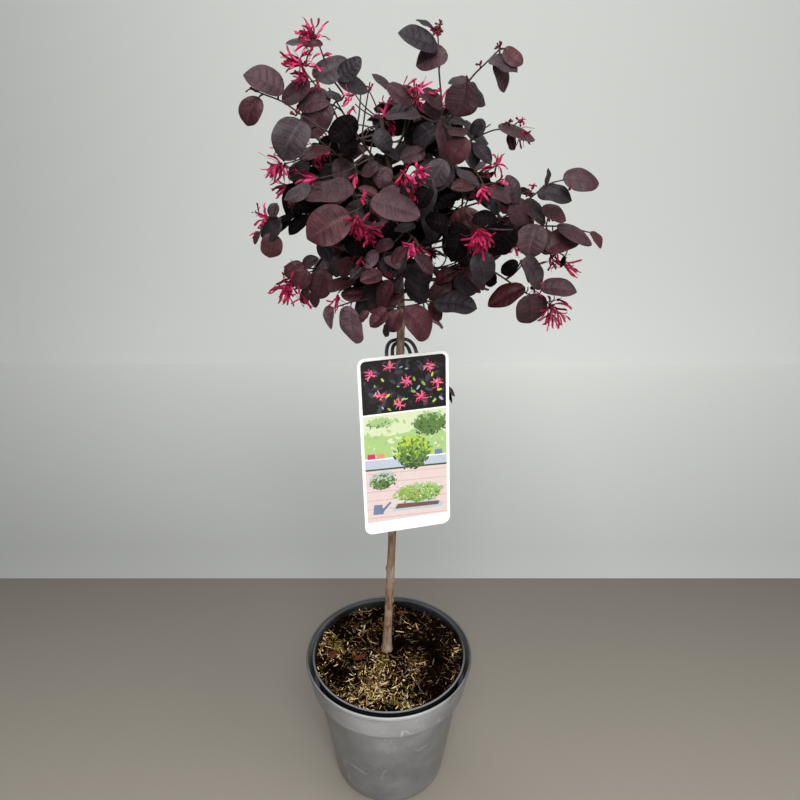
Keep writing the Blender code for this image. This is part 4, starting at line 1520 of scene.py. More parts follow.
@dataclass
class Crown:
    """Twigs, leaves, buds and blossom, grown from the limbs into the room of each mass of foliage."""

    trunk: TrunkAxis
    limbs: dict[str, Limb]
    masses: list[str]
    view: View = field(default_factory=View)
    leaf: LeafShape = field(default_factory=LeafShape)
    petal: PetalShape = field(default_factory=PetalShape)
    leaves_per_litre: float = 150.0
    margin: float = 0.01
    clear_spots: float = 26.0
    clear_depth: float = 0.008
    low_level: float = 0.7
    high_level: float = 0.79
    # The levels between which leaves inside the crown get painted shade.
    painted_shade_levels: Pair = (0.69, 0.84)
    seed: int = 23

    def __post_init__(self) -> None:
        """Opens a collection for each kind of piece and works out the room that the crown may fill."""
        self.rng = random.Random(self.seed)
        self.blades = {tone: Mesher() for tone in Tone}
        self.twigs = Mesher()
        self.petals = {shade: Mesher() for shade in Blossom}
        self.buds = Mesher()
        self.leaf_count = 0
        self.laid: list[Triple] = []
        self.bead, self.bead_faces = ball()
        corners = np.array([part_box(f"leaves_{mass}") for mass in self.masses])
        self.low, self.high = corners.min(axis=(0, 1)) - self.margin, corners.max(axis=(0, 1)) + self.margin

    def mass_room(self, mass: str) -> tuple[Vector, Vector]:
        """The centre and half sizes of a mass's solid."""
        low, high = (Vector(corner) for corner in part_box(f"leaves_{mass}"))
        return (low + high) / 2, (high - low) / 2

    def limb_of(self, mass: str) -> Limb:
        """Finds the limb that carries a mass.

        Args:
            mass: The mass's name, or stem for the shoot behind the tag.

        Returns:
            Its bough, or a length of the trunk.
        """
        if mass in self.limbs:
            return self.limbs[mass]
        middle, half = (0.55, 0.005) if mass == "stem" else (float(self.trunk.levels[-1]) - 0.03, 0.03)
        places = (self.trunk.at(level) for level in (middle - half, middle, middle + half))
        return Limb(*places, 0.002, 0.0015)

    def palette(self, place: Vector) -> Palette:
        """Picks the colours for a leaf, with painted shade inside the crown.

        Args:
            place: Where it grows.

        Returns:
            The palette.
        """
        heart = self.trunk.at(place.z)
        away = math.hypot(place.x - heart.x, (place.y - heart.y) * 1.2)
        # Leaves inside the crown, between these levels, get the DEEP palette: painted shade.
        inside = away < (0.07 if place.y < 0.02 else 0.04) or -0.09 < place.y < 0.035 and away < 0.13
        if inside and self.painted_shade_levels[0] < place.z < self.painted_shade_levels[1]:
            return Palette.DEEP
        if place.z > self.high_level:
            return Palette.HIGH
        return Palette.LOW if place.z < self.low_level else Palette.MIDDLE

    def facing(self, place: Vector) -> Vector:
        """The way a leaf's upper side looks: up and out, and to the front where the front sees it.

        Args:
            place: Where the leaf grows.

        Returns:
            The direction.
        """
        heart = self.trunk.at(min(place.z, 0.8))
        out = Vector((place.x - heart.x, place.y - heart.y, 0.0))
        out = out.normalized() if out.length > 1e-4 else FRONT.copy()
        toward_front = min(1.0, max(0.0, 0.5 - place.y / 0.08))
        spread = scatter(self.rng, 0.3, 0.3, 0.22)
        return (UP * 0.62 + out * 0.4 + FRONT * 0.62 * toward_front + spread).normalized()

    def add_leaf(self, base: Vector, ahead: Vector, up: Vector, length: float, width: float,
                 tone: Tone) -> None:
        """Adds one blade.

        Args:
            base: Where it starts.
            ahead: The direction of its tip.
            up: The way its upper side looks.
            length: Its length.
            width: Its width.
            tone: Its colour.
        """
        up = up - ahead * up.dot(ahead)
        if up.length < 0.2:
            up = UP - ahead * UP.dot(ahead)
        up.normalize()
        axes = np.array([ahead, up.cross(ahead), up])
        blade = self.leaf.blade(length, width, self.rng)
        self.blades[tone].add(blade @ axes + np.array(base), self.leaf.faces, self.leaf.slots)
        self.leaf_count += 1

    def add_stalk(self, start: Vector, end: Vector, thick: float, lean: Vector) -> None:
        """Adds a leaf stalk or a short side twig.

        Args:
            start: Where it starts.
            end: Where it ends.
            thick: Its radius at its start.
            lean: The way it bows.
        """
        reach = (end - start).length
        steps = max(2, int(reach / 0.004))
        path = curve(start, start.lerp(end, 0.5) + lean * reach * 0.16, end, steps)
        add_tube(self.twigs, path, np.linspace(thick, 0.00052, steps + 1), 5)

    def add_bead(self, centre: Vector, size: float, ahead: Vector) -> None:
        """Adds one bud or calyx.

        Args:
            centre: Its middle.
            size: Its radius.
            ahead: The way it is longer.
        """
        along = np.array(ahead)
        stretch = self.bead + np.outer(self.bead @ along, along) * 0.5
        self.buds.add(stretch * size + np.array(centre), self.bead_faces)

    def add_buds(self, place: Vector, ahead: Vector, count: int) -> None:
        """Adds closed buds on short stalks.

        Args:
            place: The shoot's tip.
            ahead: The shoot's direction there.
            count: How many buds it has.
        """
        rng = self.rng
        for _ in range(count):
            aim = (ahead * 0.5 + scatter(rng).normalized()).normalized()
            tip = place + aim * rng.uniform(0.0015, 0.0048)
            self.add_stalk(place, tip, 0.0006, ahead)
            self.add_bead(tip, rng.uniform(0.0007, 0.0012), aim)

    def add_tuft(self, place: Vector, aim: Vector, flowers: int, reach: float, spread: float) -> None:
        """Adds a tuft of flowers, each of four strap petals.

        Args:
            place: The tuft's foot.
            aim: Its middle direction.
            flowers: How many flowers it has.
            reach: How far their petals reach.
            spread: How far they turn from aim, in radians.
        """
        rng = self.rng
        across = aim.orthogonal().normalized()
        for _ in range(flowers):
            swing = abs(rng.gauss(0.0, spread)) * 0.6
            out = Matrix.Rotation(rng.uniform(0.0, FULL_TURN), 3, aim) @ across
            bud_aim = (aim * math.cos(swing) + out * math.sin(swing)).normalized()
            heart = place + bud_aim * rng.uniform(0.0015, 0.005)
            self.add_bead(heart, rng.uniform(0.0011, 0.0015), bud_aim)
            shade = rng.choices(list(Blossom), (4, 10, 3))[0]
            side = bud_aim.orthogonal().normalized()
            start = rng.uniform(0.0, FULL_TURN)
            for k in range(4):
                out = Matrix.Rotation(start + k * FULL_TURN / 4 + rng.gauss(0.0, 0.3), 3, bud_aim) @ side
                heading = (bud_aim + out * rng.uniform(0.2, 0.95) + aim * 0.1).normalized()
                self.petal.add(self.petals[shade], rng, heart, heading, reach * rng.uniform(0.8, 1.25))

    def smooth_way(self, points: Sequence[Vector]) -> Array:
        """Makes a smooth path through points, with a step about every 4 mm.

        Args:
            points: The points.

        Returns:
            The path, n by 3.
        """
        if len(points) == 2:
            return curve(points[0], points[0].lerp(points[1], 0.5), points[1], 4)
        ends = [points[0] * 2 - points[1], *points, points[-1] * 2 - points[-2]]
        path = []
        for a, b, c, d in zip(ends, ends[1:], ends[2:], ends[3:]):
            steps = max(2, int((c - b).length / 0.004))
            for step in range(steps):
                t = step / steps
                path.append(0.5 * (b * 2 + (c - a) * t + (a * 2 - b * 5 + c * 4 - d) * t * t
                                   + (b * 3 - a - c * 3 + d) * t ** 3))
        path.append(points[-1])
        return np.array(path)

    def lay_leaf(self, leaf: Leaf, number: int, joint: Vector, forward: Vector) -> None:
        """Lays one leaf where the front view shows it, rolled until it looks as wide as there.

        Args:
            leaf: The leaf.
            number: Its number on its shoot. Later ones lie a little further to the front.
            joint: The twig's point that is seen nearest to it.
            forward: The twig's direction there.
        """
        rng, view = self.rng, self.view
        depth = joint.y - 0.003 - 0.0016 * number
        base = view.point(leaf.from_across, leaf.from_down, depth)
        seen_length = (view.point(leaf.to_across, leaf.to_down, depth) - base).length
        swing = max(-0.01, min(0.01, seen_length * rng.gauss(-0.04, 0.2)))
        tip = view.point(leaf.to_across, leaf.to_down, depth + swing)
        ahead, length = (tip - base).normalized(), (tip - base).length
        seen_width = leaf.width / 100
        natural = self.leaf.natural * rng.uniform(0.94, 1.06)
        roll = math.acos(min(1.0, seen_width / natural))
        if seen_width >= natural:
            natural, roll = seen_width, abs(rng.gauss(0.0, 0.16))
        toward = view.place - base
        toward = (toward - ahead * toward.dot(ahead)).normalized()
        looks = [Matrix.Rotation(turn, 3, ahead) @ toward for turn in (roll, -roll)]
        up = max(looks, key=lambda look: look.z + 0.3 * look.dot(self.facing(base)))
        self.add_leaf(base, ahead, up, length, length * natural, leaf.tone)
        thick = 0.0009 if (base - joint).length > 0.008 else 0.0007
        self.add_stalk(joint, base + ahead * 0.0015, thick, forward)
        across, down = (leaf.from_across + leaf.to_across) / 2, (leaf.from_down + leaf.to_down) / 2
        self.laid.append((across, down, depth))

    def lay_tuft(self, tuft: Tuft, joint: Vector) -> None:
        """Lays blossom or buds where the front view shows them.

        Args:
            tuft: The tuft.
            joint: The twig's point that is seen nearest to it.
        """
        view = self.view
        foot = view.point(tuft.across, tuft.down, joint.y - 0.006)
        cos, sin = math.cos(math.radians(tuft.aim)), math.sin(math.radians(tuft.aim))
        aim = (Vector((cos, 0.0, 0.0)) + view.upward * sin - view.inward * 0.25).normalized()
        if (foot - joint).length > 0.002:
            self.add_stalk(joint, foot, 0.0007, aim)
        if tuft.flowers:
            scale = (foot - view.place).dot(view.inward) / view.side
            self.add_tuft(foot, aim, tuft.flowers, tuft.reach * scale, math.radians(tuft.spread))
            self.laid.append((tuft.across + cos * tuft.reach / 2, tuft.down - sin * tuft.reach / 2, foot.y))
        self.add_buds(foot, aim, tuft.buds)

    def lay_shoot(self, shoot: Shoot) -> None:
        """Grows a shoot that the front view shows, with its leaves and its blossom.

        Args:
            shoot: The shoot.
        """
        count = len(shoot.way) - 1
        way = [self.view.point(across, down, mix_numbers(shoot.near_depth, shoot.tip_depth, k / count) / 1000)
               for k, (across, down) in enumerate(shoot.way)]
        limb = self.limb_of(shoot.mass)
        share = min((k / 20 for k in range(4, 21)), key=lambda t: (limb.at(t) - way[0]).length)
        path = self.smooth_way([limb.at(share), *way])
        reach = float(np.linalg.norm(np.diff(path, axis=0), axis=1).sum())
        thick = min(0.0012, 0.00072 + reach * 0.004)
        add_tube(self.twigs, path, np.linspace(thick, 0.00058, len(path)), 8)
        spots = np.array([self.view.spot(Vector(point)) for point in path])

        def nearest(across: float, down: float) -> int:
            """The number of the path's point that is seen nearest to a spot."""
            return int(np.argmin(np.hypot(*(spots - (across, down)).T)))

        for number, leaf in enumerate(shoot.leaves):
            near = nearest(leaf.from_across, leaf.from_down)
            forward = Vector(path[min(near + 1, len(path) - 1)] - path[near - 1]).normalized()
            self.lay_leaf(leaf, number, Vector(path[near]), forward)
        for tuft in shoot.tufts:
            self.lay_tuft(tuft, Vector(path[nearest(tuft.across, tuft.down)]))

    def in_dense_part(self, across: float, down: float) -> bool:
        """Tells whether a spot of the front view lies in the crown's dense part and in no gap.

        Args:
            across: The spot's distance from the picture's left.
            down: Its distance from the picture's top.

        Returns:
            Whether it does.
        """
        if any(math.hypot(across - x, down - y) < radius for x, y, radius in SKY_GAPS):
            return False
        inside = False
        for (x0, y0), (x1, y1) in zip(DENSE_PART, DENSE_PART[1:] + DENSE_PART[:1]):
            if (y0 > down) != (y1 > down) and across < x0 + (x1 - x0) * (down - y0) / (y1 - y0):
                inside = not inside
        return inside

    def may_grow(self, base: Vector, tip: Vector) -> bool:
        """Tells whether a further leaf keeps in its room, in the dense part and behind what is laid near it.

        Args:
            base: Where it starts.
            tip: Where it ends.

        Returns:
            Whether it does.
        """
        for point in (base, base.lerp(tip, 0.55), tip):
            outside = any(not low < place < high for low, place, high in zip(self.low, point, self.high))
            if outside or not self.in_dense_part(*self.view.spot(point)):
                return False
        middle = base.lerp(tip, 0.5)
        across, down = self.view.spot(middle)
        near = [depth for x, y, depth in self.laid if math.hypot(across - x, down - y) < self.clear_spots]
        return not near or min(base.y, middle.y) > max(near) + self.clear_depth

    def grow_shoot(self, start: Vector, limb_ahead: Vector, tip: Vector, leaves: int, length: float,
                   flowers: int = 0, buds: int = 0) -> bool:
        """Grows one further shoot from a limb, if most of its leaves find room.

        Args:
            start: Where it leaves the limb.
            limb_ahead: The limb's direction there.
            tip: Where it ends.
            leaves: How many leaves it bears.
            length: Their length.
            flowers: How many flowers it ends in.
            buds: How many buds it ends in.

        Returns:
            Whether it has grown.
        """
        rng = self.rng
        reach = (tip - start).length
        bend = start + limb_ahead * reach * 0.42 + UP * reach * 0.06
        path = curve(start, bend, tip, max(6, int(reach / 0.005)))
        wander = np.array([[noise.noise(Vector(point) * 90.0 + Vector((9.0 * k, 0.0, 0.0))) * 0.0009
                            for k in range(3)] for point in path])
        path[1:] += wander[1:]
        side = rng.choice((-1, 1))
        grown = []
        for k in range(leaves):
            share = 0.28 + 0.7 * (k + 0.35) / leaves if k < leaves - 1 else 0.985
            spot = share * (len(path) - 1)
            index = min(int(spot), len(path) - 2)
            joint = Vector(path[index]).lerp(Vector(path[index + 1]), spot - index)
            ahead = Vector(path[index + 1] - path[index]).normalized()
            up = self.facing(joint)
            across = up.cross(ahead).normalized() * side
            spread = math.radians(rng.uniform(42.0, 72.0) if k < leaves - 1 else rng.uniform(0.0, 26.0))
            heading = (ahead * math.cos(spread) + across * math.sin(spread)
                       - UP * rng.uniform(0.0, 0.38)).normalized()
            swell = 0.74 + 0.42 * math.sin(math.pi * (0.18 + 0.62 * share))
            size = length * swell * rng.uniform(0.84, 1.12)
            base = joint + heading * size * rng.uniform(0.09, 0.14)
            side = -side
            if self.may_grow(base, base + heading * size):
                grown.append((joint, base, heading, up, size))
        if len(grown) < max(1, leaves // 2):
            return False
        thick = min(0.0011, 0.0007 + reach * 0.004)
        add_tube(self.twigs, path, np.linspace(thick, 0.00056, len(path)), 7)
        for joint, base, heading, up, size in grown:
            tone = self.palette(base).deal(rng)
            self.add_leaf(base, heading, up, size, size * rng.uniform(0.66, 0.8), tone)
            self.add_stalk(joint, base + heading * 0.0012, 0.00065, heading)
        ahead = Vector(path[-1] - path[-2]).normalized()
        self.add_tuft(tip, (ahead + UP * rng.gauss(-0.2, 0.4)).normalized(), flowers, 0.015, 1.1)
        self.add_buds(tip, ahead, buds)
        return True

    def fill_mass(self, mass: str) -> None:
        """Grows further shoots in a mass, until it is as full as its room asks.

        Args:
            mass: The mass's name.
        """
        rng = self.rng
        centre, half = self.mass_room(mass)
        limb = self.limb_of(mass)
        litres = half.x * half.y * half.z * 8 * 0.52 * 1000
        laid = sum(len(shoot.leaves) for shoot in SHOOTS if shoot.mass == mass)
        wanted = self.leaf_count + max(6, int(litres * self.leaves_per_litre) - laid)
        for _ in range(60):
            if self.leaf_count >= wanted:
                break
            share = rng.uniform(0.5, 1.0)
            aim = scatter(rng, 1.0, 1.0, 0.8).normalized()
            aim = (aim + limb.ahead(1.0) * 0.5).normalized()
            tip = centre + Vector((aim.x * half.x, aim.y * half.y, aim.z * half.z)) * rng.uniform(0.45, 0.8)
            seen_little = tip.y > 0.03 or abs(tip.x - 0.03) > 0.1
            flowers, buds = rng.choice(((0, 0), (0, 0), (0, 6), (3, 0), (5, 0))) if seen_little else (0, 0)
            self.grow_shoot(limb.at(share), limb.ahead(share), tip, rng.randint(4, 6),
                            rng.uniform(0.028, 0.038), flowers, buds)

    def fill_heart(self) -> None:
        """Grows short leafy twigs along the boughs, so that the crown's heart is full."""
        rng = self.rng
        for limb in self.limbs.values():
            for _ in range(max(2, int((limb.end - limb.start).length / 0.012))):
                share = rng.uniform(0.15, 0.95)
                start = limb.at(share)
                turn = Vector((rng.gauss(0, 1), rng.gauss(0, 1), rng.gauss(0.2, 0.7))).normalized()
                tip = start + (turn + limb.ahead(share) * 0.4).normalized() * rng.uniform(0.016, 0.034)
                self.grow_shoot(start, limb.ahead(share), tip, rng.randint(2, 4), rng.uniform(0.026, 0.036))

    def build(self) -> None:
        """Grows the crown and makes its pieces."""
        for shoot in SHOOTS:
            self.lay_shoot(shoot)
        LOG.info("leaves laid: %d", self.leaf_count)
        for mass in self.masses:
            before = self.leaf_count
            self.fill_mass(mass)
            LOG.info("mass %s: %d further leaves", mass, self.leaf_count - before)
        self.fill_heart()
        LOG.info("leaves grown: %d", self.leaf_count)
        nodes = [f"leaves_{mass}" for mass in self.masses]
        for number, (tone, mesher) in enumerate(self.blades.items()):
            mesher.piece(f"leaves_{tone.value.name}", tone.value.materials(), "foliage",
                         nodes if number == 0 else (), 75.0)
        twig = BarkFinish("twigs", seen(32, 23, 22), seen(70, 53, 47), seen(64, 52, 47), 900.0)
        self.twigs.piece("twigs", twig.materials(), "bark", (), 60.0)
        for shade, mesher in self.petals.items():
            mesher.piece(f"blossom_{shade.value.name}", shade.value.materials(), "foliage", (), 60.0)
        bud = PetalFinish("bud", seen(56, 9, 20), seen(104, 22, 40))
        self.buds.piece("buds", bud.materials(), "foliage", (), 60.0)


class Ink(Enum):
    """The inks of the tag's print, each with its colour on a screen."""

    NIGHT = (6, 4, 5)
    SHADE = (34, 27, 32)
    DIM = (64, 60, 68)
    MIST = (150, 172, 188)
    ROSE = (206, 44, 100)
    PINK = (240, 108, 142)
    LIME = (182, 204, 72)
    HAZE = (208, 218, 178)
    LAWN = (166, 196, 124)
    PALE = (158, 188, 128)
    LEAF = (132, 170, 66)
    HEDGE = (90, 122, 62)
    FOREST = (56, 76, 48)
    PAVING = (220, 200, 196)
    JOINT = (198, 164, 154)
    STONE = (182, 192, 204)
    SLATE = (110, 124, 154)
    EARTH = (110, 82, 68)
    CLAY = (222, 140, 116)
    WHITE = (246, 246, 244)

    @property
    def finish(self) -> PaperFinish:
        """The ink's finish."""
        return PaperFinish(self.name.lower(), seen(*self.value))


@dataclass
class HangTag:
    """The picture tag: a white card with a plain generic garden print, on a black clip."""

    width: float = 0.094
    height: float = 0.197
    thickness: float = 0.0008
    corner: float = 0.0085
    soft_edge: float = 0.00015
    centre: Triple = (0.0197, -0.0165, 0.4954)
    turn: float = math.radians(14.3)
    lean: float = math.radians(-6.9)
    border: float = 0.0032
    foot_strip: float = 0.014
    top_share: float = 0.32
    line: float = 0.0016
    print_corner: float = 0.005
    print_margin: float = 0.0015
    layer: float = 0.00004
    clip_strip: float = 0.0024
    clip_back: float = 0.0142
    clip_sides: int = 12
    clip_steps: int = 44
    seed: int = 3

    def __post_init__(self) -> None:
        """Works out the print's edges, and the foot of its upper and the top of its lower picture."""
        self.right = self.width / 2 - self.border
        self.top = self.height / 2 - self.border
        self.foot = -self.height / 2 + self.foot_strip
        split = self.top - self.top_share * (self.top - self.foot)
        self.low, self.high = split + self.line / 2, split - self.line / 2
        self.rng = random.Random(self.seed)
        self.ink = Mesher()

    def place(self) -> Matrix:
        """The card's own frame: across, back and up."""
        return (Matrix.Translation(self.centre) @ Matrix.Rotation(self.turn, 4, "Z")
                @ Matrix.Rotation(self.lean, 4, "X"))

    def put(self, mesher: Mesher, corners: Array, faces: Any, slot: int = 0) -> None:
        """Adds a shape given in the card's frame."""
        matrix = np.array(self.place())
        mesher.add(corners @ matrix[:3, :3].T + matrix[:3, 3], faces, slot)

    def outline(self, inset: float) -> list[Pair]:
        """Draws the card's outline, anticlockwise seen from the front.

        Args:
            inset: How far it lies inside the card's edge.

        Returns:
            Its points, across and up.
        """
        across, up = self.width / 2 - self.corner, self.height / 2 - self.corner
        made = []
        for number, (side, end) in enumerate(((1, 1), (-1, 1), (-1, -1), (1, -1))):
            made += quarter(side * across, end * up, self.corner - inset, 90.0 * number, 9)
        return made

    def build_card(self) -> None:
        """Makes the card, with a slightly softened edge."""
        soft, back = self.soft_edge, self.thickness
        rings = ((0.0, soft), (soft, 0.0), (back - soft, 0.0), (back, soft))
        corners = [(x, depth, z) for depth, inset in rings for x, z in self.outline(inset)]
        count = len(corners) // 4
        faces = ring_faces(4, count).tolist()
        faces += [list(range(count)), [3 * count + i for i in range(count)][::-1]]
        mesher = Mesher()
        self.put(mesher, np.array(corners), faces)
        finish = PaperFinish("card", seen(252, 252, 250), 0.34)
        mesher.piece("tag_card", finish.materials(), "tag_card", ["hang_tag"], 30.0)

    def flat(self, points: Sequence[Pair], level: float, ink: Ink) -> None:
        """Prints one flat shape.

        Args:
            points: Its outline in the card's plane.
            level: Which layer it lies on.
            ink: Its ink.
        """
        corners = np.array([(x, -self.layer * level, z) for x, z in points])
        self.put(self.ink, corners, [list(range(len(points)))], list(Ink).index(ink))

    def at(self, across: float, up: float) -> Pair:
        """The point at these shares of the lower picture."""
        return mix_numbers(-self.right, self.right, across), mix_numbers(self.foot, self.high, up)

    def area(self, spots: Sequence[Pair], level: float, ink: Ink) -> None:
        """Prints a shape whose corners are shares of the lower picture."""
        self.flat([self.at(*spot) for spot in spots], level, ink)

    def dab(self, x: float, z: float, long: float, level: float, ink: Ink) -> None:
        """Prints a small oval dab, turned at random.

        Args:
            x: Its middle, across.
            z: Its middle, up.
            long: Half its length.
            level: Its layer.
            ink: Its ink.
        """
        angle, slim = self.rng.uniform(0.0, math.pi), self.rng.uniform(0.34, 0.6)
        cos, sin = math.cos(angle), math.sin(angle)
        ring = [(long * math.cos(a), long * slim * math.sin(a)) for a in (k * math.pi / 4 for k in range(8))]
        self.flat([(x + u * cos - v * sin, z + u * sin + v * cos) for u, v in ring], level, ink)

    def leafage(self, centre: Pair, half: Pair, inks: Sequence[Ink], count: int, size: float,
                level: float) -> None:
        """Prints a bush as small leaves, dark below and light on top.

        Args:
            centre: Its middle, as shares of the lower picture.
            half: Its half width and half height, as such shares.
            inks: Its inks, from dark to light.
            count: How many leaves it has.
            size: Half their length.
            level: The layer of the first.
        """
        rng = self.rng
        middle = []
        for k in range(24):
            far = 0.84 * (1 + 0.07 * math.sin(5 * k) + 0.06 * math.sin(3 * k + 1))
            turn = k * FULL_TURN / 24
            middle.append((centre[0] + half[0] * far * math.cos(turn),
                           centre[1] + half[1] * far * math.sin(turn)))
        self.area(middle, level - 0.05, inks[1])
        for number in range(count):
            angle, reach = rng.uniform(0.0, FULL_TURN), math.sqrt(rng.random()) * rng.uniform(0.86, 1.08)
            x, z = self.at(centre[0] + half[0] * reach * math.cos(angle),
                           centre[1] + half[1] * reach * math.sin(angle))
            long = size * rng.uniform(0.6, 1.3)
            x = max(long - self.right, min(self.right - long, x))
            z = max(self.foot + long, min(self.high - long, z))
            light = 0.5 + 0.42 * reach * math.sin(angle) + rng.gauss(0.0, 0.22)
            ink = inks[min(len(inks) - 1, max(0, int(light * len(inks))))]
            self.dab(x, z, long, level + number * 0.02, ink)

    def strap(self, x: float, z: float, angle: float, reach: float, level: float, ink: Ink) -> None:
        """Prints one curved strap petal.

        Args:
            x: Where it starts, across.
            z: Where it starts, up.
            angle: The direction in which it starts.
            reach: How far it reaches.
            level: Its layer.
            ink: Its ink.
        """
        bend, width = self.rng.gauss(0.0, 0.55), self.rng.uniform(0.00036, 0.0006)
        sides = [], []
        for k in range(6):
            turn = angle + bend * k / 5
            u, v = x + reach * k / 5 * math.cos(turn), z + reach * k / 5 * math.sin(turn)
            sides[0].append((u - width * math.sin(turn), v + width * math.cos(turn)))
            sides[1].append((u + width * math.sin(turn), v - width * math.cos(turn)))
        self.flat(sides[1] + sides[0][::-1], level, ink)

    def print_blossom(self) -> None:
        """Prints the upper picture: pink strap blossom among dark leaves."""
        rng, low, right, top, corner = self.rng, self.low, self.right, self.top, self.print_corner
        edge = [(-right, low), (right, low)]
        for side, first in ((1, 0.0), (-1, 90.0)):
            edge += quarter(side * (right - corner), top - corner, corner, first, 6)
        self.flat(edge, 1, Ink.NIGHT)
        for number in range(190):
            long = rng.uniform(0.0012, 0.005)
            x = rng.uniform(long - right, right - long)
            z = rng.uniform(low + long, top - (0.003 if abs(x) > right - corner else 0.0) - long)
            self.dab(x, z, long, 2 + number * 0.01, rng.choice((Ink.NIGHT, Ink.SHADE, Ink.SHADE, Ink.DIM)))
        for number in range(34):
            x, z = rng.uniform(0.005 - right, right - 0.005), rng.uniform(low + 0.003, top - 0.005)
            long = rng.uniform(0.0008, 0.0034)
            self.dab(x, z, long, 4 + number * 0.01, rng.choice((Ink.LIME, Ink.MIST, Ink.LEAF)))
        spots = ((0.11, 0.74), (0.33, 0.84), (0.53, 0.56), (0.8, 0.8), (0.22, 0.34), (0.7, 0.24),
                 (0.9, 0.46), (0.44, 0.13))
        for number, (across, up) in enumerate(spots):
            x, z = mix_numbers(-right, right, across), mix_numbers(low, top, up)
            for petal in range(15):
                reach = rng.uniform(0.0042, 0.008)
                angle = rng.uniform(0.0, FULL_TURN)
                end_x, end_z = x + reach * math.cos(angle), z + reach * math.sin(angle)
                margin = self.print_margin
                if abs(end_x) > right - margin or not low + margin < end_z < top - margin:
                    continue
                ink = rng.choice((Ink.PINK, Ink.PINK, Ink.ROSE))
                self.strap(x, z, angle, reach, 5 + number * 0.2 + petal * 0.01, ink)
            self.dab(x, z, 0.001, 7, Ink.ROSE)

    def print_garden(self) -> None:
        """Prints the lower picture: bushes and a flower border by a low wall and paving."""
        rng = self.rng
        self.area(((0, 0), (1, 0), (1, 1), (0, 1)), 1, Ink.HAZE)
        self.area(((0, 0.5), (1, 0.5), (1, 0.78), (0.55, 0.82), (0.3, 0.8), (0, 0.84)), 2, Ink.LAWN)
        for number in range(90):
            x, z = self.at(rng.uniform(0.04, 0.96), rng.uniform(0.6, 0.95))
            ink = rng.choice((Ink.HAZE, Ink.LAWN, Ink.PALE))
            self.dab(x, z, rng.uniform(0.001, 0.004), 2.2 + number * 0.005, ink)
        greens = (Ink.FOREST, Ink.HEDGE, Ink.HEDGE, Ink.PALE)
        self.leafage((0.8, 0.88), (0.22, 0.11), greens, 150, 0.002, 3)
        self.leafage((0.2, 0.93), (0.16, 0.05), (Ink.HEDGE, Ink.PALE, Ink.LAWN), 60, 0.0018, 3)
        self.area(((0, 0), (1, 0), (1, 0.47), (0, 0.5)), 4, Ink.PAVING)
        for number in range(6):
            low = 0.03 + 0.085 * number
            self.area(((0, low + 0.012), (1, low - 0.02), (1, low - 0.015), (0, low + 0.018)), 4.2, Ink.JOINT)
        wall = ((0.5, 0.471), (0.515, 0.487), (0.6, 0.564), (0.614, 0.577))
        for low, high, ink in zip(wall, wall[1:], (Ink.FOREST, Ink.STONE, Ink.WHITE)):
            self.area(((0, low[0]), (1, low[1]), (1, high[1]), (0, high[0])), 4.4, ink)
        for across, ink in ((0.08, Ink.ROSE), (0.19, Ink.CLAY), (0.9, Ink.SLATE)):
            low = 0.61 - 0.036 * across
            self.area(((across - 0.05, low), (across + 0.05, low), (across + 0.042, low + 0.045),
                       (across - 0.044, low + 0.048)), 4.6, ink)
        greens = (Ink.FOREST, Ink.HEDGE, Ink.LEAF, Ink.LIME)
        self.leafage((0.58, 0.63), (0.22, 0.16), greens, 300, 0.0022, 5)
        greens = (Ink.FOREST, Ink.HEDGE, Ink.PALE, Ink.STONE)
        self.leafage((0.2, 0.4), (0.17, 0.085), greens, 190, 0.0017, 5)
        self.area(((0.3, 0.085), (0.92, 0.065), (0.95, 0.105), (0.84, 0.15), (0.36, 0.155)), 5, Ink.STONE)
        self.area(((0.34, 0.105), (0.89, 0.09), (0.9, 0.125), (0.38, 0.15)), 5.2, Ink.EARTH)
        greens = (Ink.HEDGE, Ink.LEAF, Ink.PALE, Ink.LAWN)
        self.leafage((0.64, 0.235), (0.31, 0.095), greens, 280, 0.0016, 6)
        for number in range(56):
            x, z = self.at(rng.uniform(0.36, 0.92), rng.uniform(0.17, 0.32))
            ink = rng.choice((Ink.WHITE, Ink.PINK, Ink.CLAY))
            self.dab(x, z, rng.uniform(0.0006, 0.0012), 12 + number * 0.01, ink)
        self.area(((0.07, 0.075), (0.2, 0.07), (0.185, 0.165), (0.085, 0.17)), 6, Ink.SLATE)
        self.area(((0.19, 0.085), (0.3, 0.17), (0.285, 0.185), (0.185, 0.12)), 6, Ink.SLATE)

    def build_print(self) -> None:
        """Makes the print: blossom above a pale garden view."""
        self.print_blossom()
        self.print_garden()
        materials = [material for ink in Ink for material in ink.finish.materials()]
        self.ink.piece("tag_print", materials, "tag_card", (), 30.0)

    def clip_path(self) -> Array:
        """Draws the clip's way in the card's frame: an outer and an inner arch that pass behind the trunk.

        Returns:
            Its points, n by 3.
        """
        foot = self.height / 2 - 0.01
        front = self.thickness + 0.0003 + self.clip_strip / 2
        loop = []
        for half_width, rise, first, last in ((0.0156, 0.0216, 0.0, math.pi), (0.0094, 0.0178, math.pi, 0.0)):
            for step in range(self.clip_steps + 1):
                angle = mix_numbers(first, last, step / self.clip_steps)
                lift = math.sin(angle)
                across = math.copysign(abs(math.cos(angle)) ** 0.62, math.cos(angle))
                loop.append((-0.0004 + half_width * across, mix_numbers(front, self.clip_back, lift),
                             foot + rise * lift ** 0.62))
        return np.array(loop)

